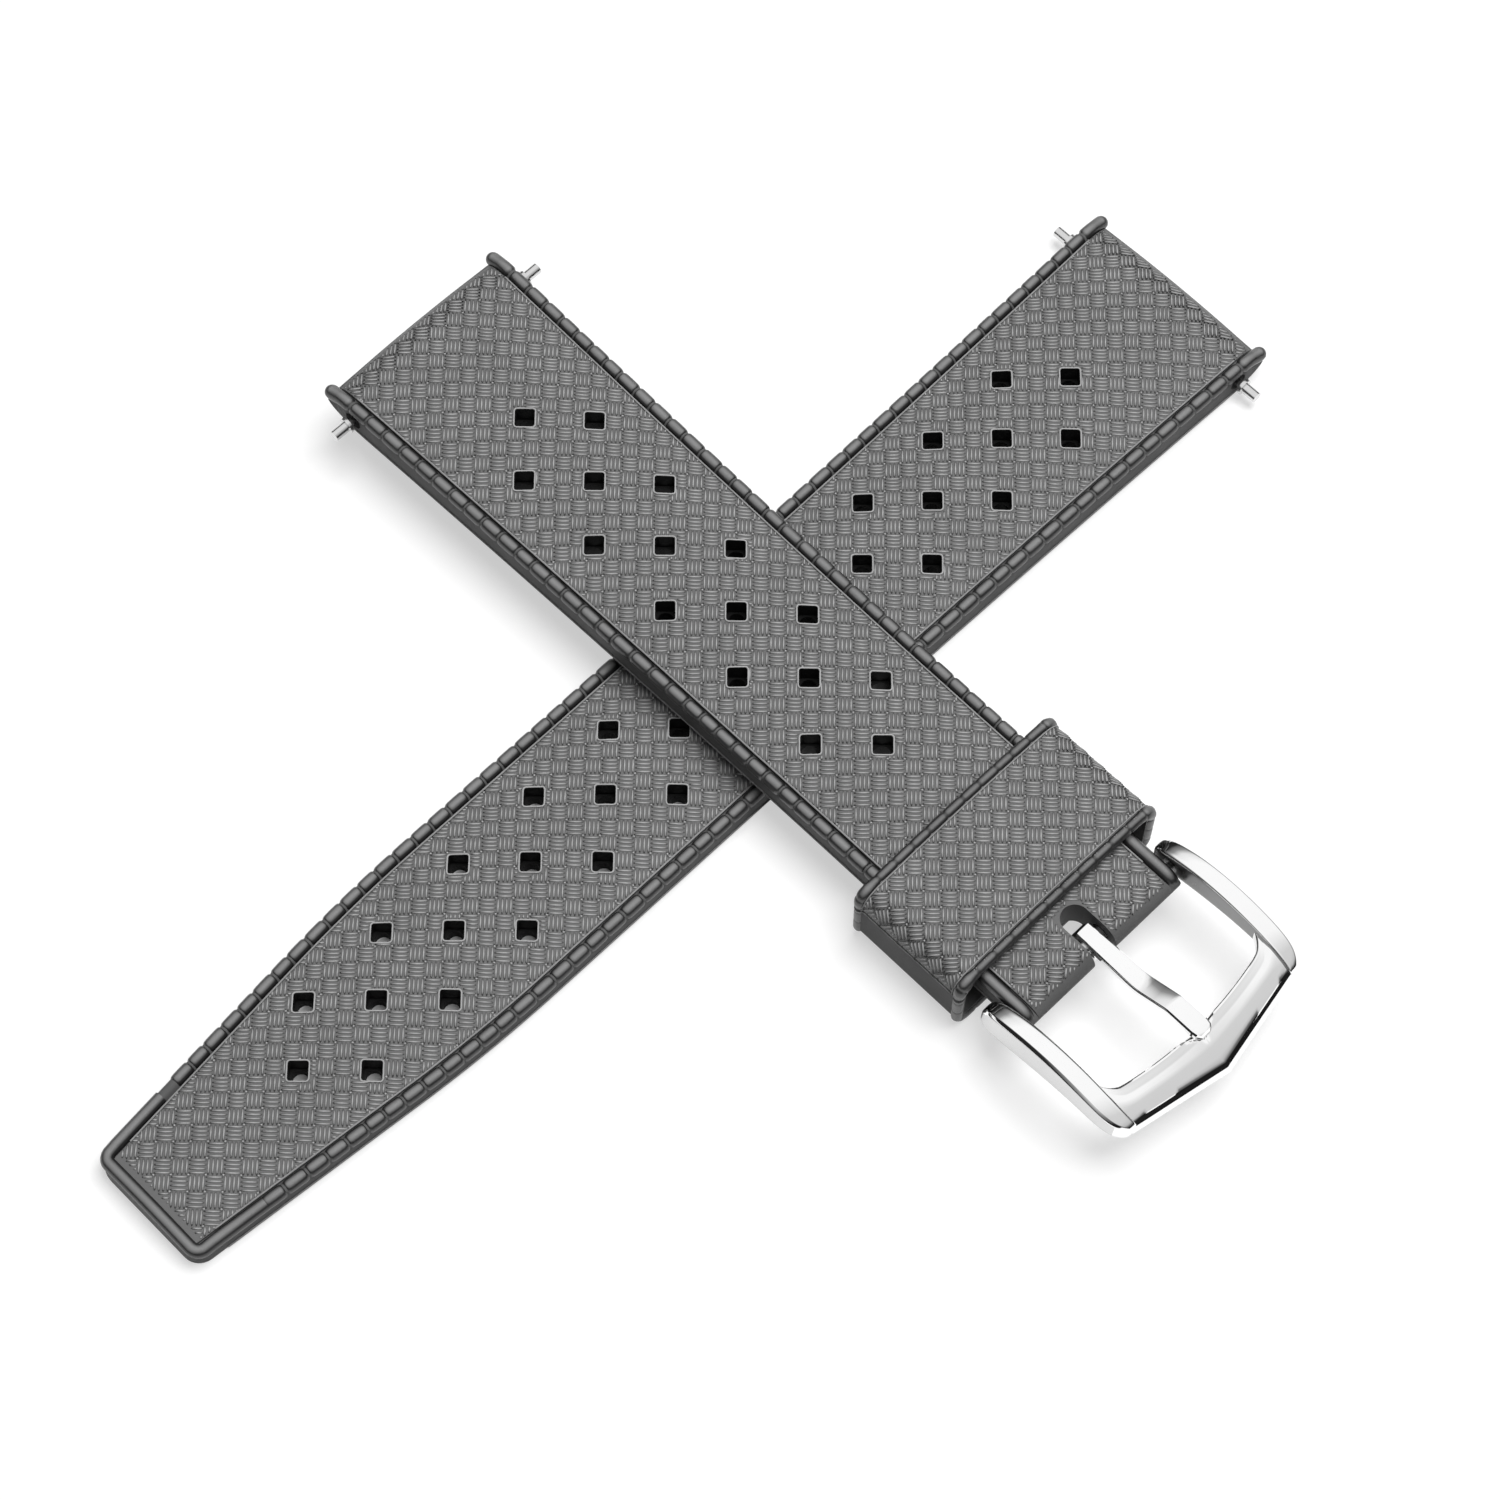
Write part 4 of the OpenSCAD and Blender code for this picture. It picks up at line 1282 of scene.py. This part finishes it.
def plate_ring(y):
    """Section of the front plate: top bent along the arch, upright inner edge, bevelled front edge."""
    inner = plate_inner(y)
    outer = BUCKLE_REACH - PLATE_POINT * abs(y) / ARM_IN
    run = outer - inner
    high = PLATE_INNER_HEIGHT
    edge = PLATE_OUTER_HEIGHT
    low = -PLATE_DEPTH_BELOW
    top = [(0, high - 0.36), (0.035, high - 0.17), (0.12, high - 0.075), (0.28, high)]
    top += [(x, high + (edge - high) * x / run + 0.02) for x in (0.42, 0.56, 0.7, 0.84, 0.98)]
    top += [(run * k, high + (edge - high) * k + 0.09 * math.sin(math.pi * k))
            for k in (0.4, 0.55, 0.7, 0.82)]
    top = [(x, z - rest_depth(x, y)) for x, z in top]
    top += [(run - 0.55, edge + 0.03), (run - 0.5, edge), (run - 0.33, edge - 0.1),
            (run - 0.16, edge - 0.2)]
    under = [(run - 0.06, edge - 0.4), (run, -0.3), (run - 0.06, low + 0.2), (run - 0.25, low + 0.03),
             (run * 0.66, low), (run * 0.33, low), (0.3, low), (0.08, low + 0.1), (0, low + 0.3)]
    return [(inner + x, y, arch(inner + x) + z) for x, z in top + under]


def buckle_pieces():
    for side, name in ((1, "buckle_arm_left"), (-1, "buckle_arm_right")):
        arm = new_piece(name, skin([arm_ring(station, side) for station in ARM_STATIONS]),
                        [STEEL, INNER_STEEL_PAINTED_SHADE, OUTER_STEEL_PAINTED_SHADE], lay_buckle)
        # Inward- and outward-facing faces get darker copies of the polished steel, as painted shade.
        for face in arm.data.polygons:
            lean = face.normal.y * side
            face.material_index = 1 if lean < -0.85 else 2 if lean > 0.85 else 0
        rounding = arm.modifiers.new("smooth", "SUBSURF")
        rounding.levels = 2
        rounding.render_levels = 2
        apply_modifiers(arm)
        arm.data.shade_smooth()
        settle(arm, "buckle", "buckle_frame", slot="polished_steel")
    sides = [9.5, 9.3, 9.15, 8.95, 8.75, 8.5, 8.25] + [0.5 * k for k in range(16, 3, -1)]
    sides += [0.12 * k for k in range(15, 0, -1)]
    stations = sides + [0] + [-y for y in reversed(sides)]
    plate = new_piece("buckle_plate", skin([plate_ring(y) for y in stations]), [STEEL], lay_buckle)
    smooth(plate, 28)
    settle(plate, "buckle", "buckle_frame", slot="polished_steel")


TANG_THICK = 0.85
TANG_LOOP = 1.4
TANG_BORE = 0.8
TANG_HALF = 0.78
TANG_REAR = -0.9
TANG_POINT = 11.6
TANG_HIGH = arch(PLATE_IN) + PLATE_INNER_HEIGHT + 0.08 + TANG_THICK

# Height of the tang's top along its length: flat, a ramp up to the plate, flat, and down at its tip
TANG_TOP = [(TANG_REAR, TANG_LOOP), (0.0, TANG_LOOP), (1.5, TANG_LOOP), (3.2, TANG_LOOP), (4.6, TANG_LOOP),
            (5.1, TANG_LOOP + 0.02), (5.5, TANG_LOOP + 0.08), (5.9, TANG_LOOP + 0.2),
            (6.3, TANG_LOOP + 0.36), (7.4, TANG_LOOP + 0.85), (8.5, TANG_HIGH - 0.14),
            (8.7, TANG_HIGH - 0.07), (8.85, TANG_HIGH - 0.02), (9.0, TANG_HIGH), (9.4, TANG_HIGH + 0.01),
            (10.6, TANG_HIGH + 0.01), (11.5, TANG_HIGH), (12.0, TANG_HIGH - 0.03),
            (12.25, TANG_HIGH - 0.1), (TANG_REACH, TANG_HIGH - 0.3)]
TANG_EDGE = [(0, 0.2), (0.04, 0.145), (0.14, 0.035), (0.25, 0)]


def tang_section(x, top):
    """Section of the tang, which gets a little wider to the front and narrows at its point."""
    near_tip = max(0, x - TANG_POINT)
    half = TANG_HALF + 0.16 * min(1, (x - TANG_REAR) / 7)
    half -= 0.46 * (near_tip / (TANG_REACH - TANG_POINT)) ** 2.4
    depth = min(TANG_THICK, 0.34 + 0.55 * (x - TANG_REAR)) if x < 0.1 else TANG_THICK
    low = top - depth + 0.3 * near_tip
    side = [(half, low + 0.12)] + [(half - a, top - b) for a, b in TANG_EDGE]
    left = [(x, -y, z) for y, z in side]
    right = [(x, y, z) for y, z in reversed(side)]
    return left + [(x, 0, top + 0.01)] + right + [(x, half - 0.12, low), (x, -half + 0.12, low)]


def tang_loop():
    """The closed loop that turns on the buckle's bar."""
    side = TANG_HALF
    profile = [(TANG_BORE, -side), (TANG_LOOP - 0.12, -side), (TANG_LOOP, -side + 0.12),
               (TANG_LOOP, side - 0.12), (TANG_LOOP - 0.12, side), (TANG_BORE, side)]
    return skin([[(r * c, y, r * s) for r, y in profile] for c, s in circle(0, 0, 1, 36)], closed=True)


def tang_piece():
    """Flat tang with eased edges and a straight cut rear end, stepped up to the plate, and its loop."""
    bar = skin([tang_section(x, top) for x, top in TANG_TOP])
    tang = new_piece("tang_bar", joined(bar, tang_loop()), [STEEL, INNER_STEEL_PAINTED_SHADE], lay_buckle)
    # The loop and the rear end in the slot get the inner steel, painted dark as shade.
    for face in tang.data.polygons:
        u, y, z = lift_buckle_half(face.center)
        face.material_index = int(u - BUCKLE_HALF_LENGTH < -0.7)
    smooth(tang, 24)
    settle(tang, "buckle_tang", "tang", slot="polished_steel")


# Spring bars

def dress_bars():
    """The bars keep their CAD solids and get turned steel, their springs drawn wire."""
    for name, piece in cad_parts.items():
        if "_bar_" not in name:
            continue
        piece.data.materials.clear()
        piece.data.materials.append(SPRING_WIRE if name.endswith("spring") else TURNED_STEEL)
        smooth(piece)


# Studio

FLOOR_SEEN = 0.47
FLOOR_LIGHT = 0.12
FLOOR_GLOW = 0.55
FLOOR_HALF = 2.5
PAINTED_SHADOW_HALF_WIDTH = 4.6
PAINTED_SHADOW_HALF_LENGTH = 57.5
PAINTED_SHADOW_EDGE = 1.2
LAMP_SIZE = 0.4
LAMP_POWER = 4.6
CAMERA_LENS = 94.65
CAMERA_DISTANCE = 325.3
CAMERA_AZIMUTH = 45.3
CAMERA_ELEVATION = 65.13
CAMERA_TARGET = (0.54, 1.48, 3.6)
CAMERA_RIGHT = Vector((cosine(CAMERA_AZIMUTH), sine(CAMERA_AZIMUTH), 0))
CAMERA_AWAY = Vector((-sine(CAMERA_AZIMUTH), cosine(CAMERA_AZIMUTH), 0))
UP = Vector((0, 0, 1))


def seen_by_eye(n):
    """1 for camera, glossy and transmission rays, 0 for the light that falls on things."""
    rays = [n.node("ShaderNodeLightPath", None, None, f"Is {kind} Ray")
            for kind in ("Camera", "Glossy", "Transmission")]
    return rays[0].math("MINIMUM", rays[0] + rays[1] + rays[2], 1.0)


def pale_floor():
    """Plain floor that shows the object's shadow and glows a little. The glow is left out in a strip under
    the tail half, a painted shadow that the vent holes look down onto.
    """
    material, n = new_finish("pale floor")
    eye = seen_by_eye(n)
    place = own_place(n)
    # A strip under the tail half gets no glow: a painted shadow, so the vent holes look onto dark floor.
    beside = (n.axis(place, "X") - CROSS_X * MM).magnitude() - PAINTED_SHADOW_HALF_WIDTH * MM
    beyond = n.axis(place, "Y").magnitude() - PAINTED_SHADOW_HALF_LENGTH * MM
    open_side = (beside / (PAINTED_SHADOW_EDGE * MM)).clamped()
    open_end = (beyond / MM).clamped()
    glow = tone_between(n, eye * open_side.math("MAXIMUM", open_side, open_end), 0, 1)
    finish_surface(n, tone_between(n, eye, FLOOR_LIGHT, FLOOR_SEEN), 0.9, None,
                   {"Specular IOR Level": 0, "Emission Color": glow, "Emission Strength": FLOOR_GLOW})
    mesh = bpy.data.meshes.new("floor")
    r = FLOOR_HALF
    mesh.from_pydata([(-r, -r, 0), (r, -r, 0), (r, r, 0), (-r, r, 0)], [], [(0, 1, 2, 3)])
    mesh.materials.append(material)
    floor = put("floor", mesh)


def sky():
    """Soft grey light on the object, and bright and dark bands for the steel to mirror."""
    world = bpy.data.worlds.new("studio")
    bpy.context.scene.world = world
    world.use_nodes = True
    world.node_tree.nodes.clear()
    n = Nodes(world.node_tree)
    direction = n.node("ShaderNodeTexCoord", None, None, "Generated")
    height = n.axis(direction, "Z")
    bands = n.ramp(height, [(0, 0.01), (0.28, 0.025), (0.38, 0.17), (0.46, 0.28), (0.56, 0.8), (0.7, 1)])
    panel = n.ramp(n.axis(direction, "X"), [(0, 1), (0.3, 0.98), (0.5, 0.66), (1, 0.6)])
    mirrored = tone_between(n, 1, bands, panel, "MULTIPLY")
    falling = n.ramp(height, [(0, 0.03), (0.4, 0.06), (1, 0.26)])
    colour = tone_between(n, seen_by_eye(n), falling, mirrored)
    light = n.node("ShaderNodeBackground", None, {"Color": colour, "Strength": 1})
    n.node("ShaderNodeOutputWorld", None, {"Surface": light})


def lamp():
    """One soft lamp above, which the steel doesn't mirror."""
    data = bpy.data.lights.new("soft box", "AREA")
    data.shape = "RECTANGLE"
    data.size = LAMP_SIZE
    data.size_y = LAMP_SIZE
    data.energy = LAMP_POWER
    key = put("soft box", data)
    key.location = CAMERA_RIGHT * 0.15 + CAMERA_AWAY * 0.06 + UP * 0.6
    key.rotation_euler = (-key.location).to_track_quat("-Z", "Y").to_euler()
    key.visible_glossy = False


def camera():
    back = UP * sine(CAMERA_ELEVATION) - CAMERA_AWAY * cosine(CAMERA_ELEVATION)
    data = bpy.data.cameras.new("camera")
    data.lens = CAMERA_LENS
    data.sensor_width = 36
    data.clip_start = 0.01
    eye = put("camera", data)
    eye.location = (Vector(CAMERA_TARGET) + back * CAMERA_DISTANCE) * MM
    eye.rotation_euler = (-back).to_track_quat("-Z", "Y").to_euler()
    bpy.context.scene.camera = eye
    bpy.context.scene.view_settings.view_transform = "Standard"


strap_body(TAIL, TAIL_STATIONS)
strap_body(BUCKLE_HALF, BUCKLE_STATIONS)
strap_beads(TAIL, 114)
strap_beads(BUCKLE_HALF, 78)
flash_lines(TAIL, 118)
flash_lines(BUCKLE_HALF, 79.5)
strap_grain(TAIL, GRAIN_START, 118.4)
strap_grain(BUCKLE_HALF, GRAIN_START, 81.2)
keeper_shell()
keeper_rims()
keeper_lines()
keeper_grain()
buckle_pieces()
tang_piece()
dress_bars()
pale_floor()
sky()
lamp()
camera()
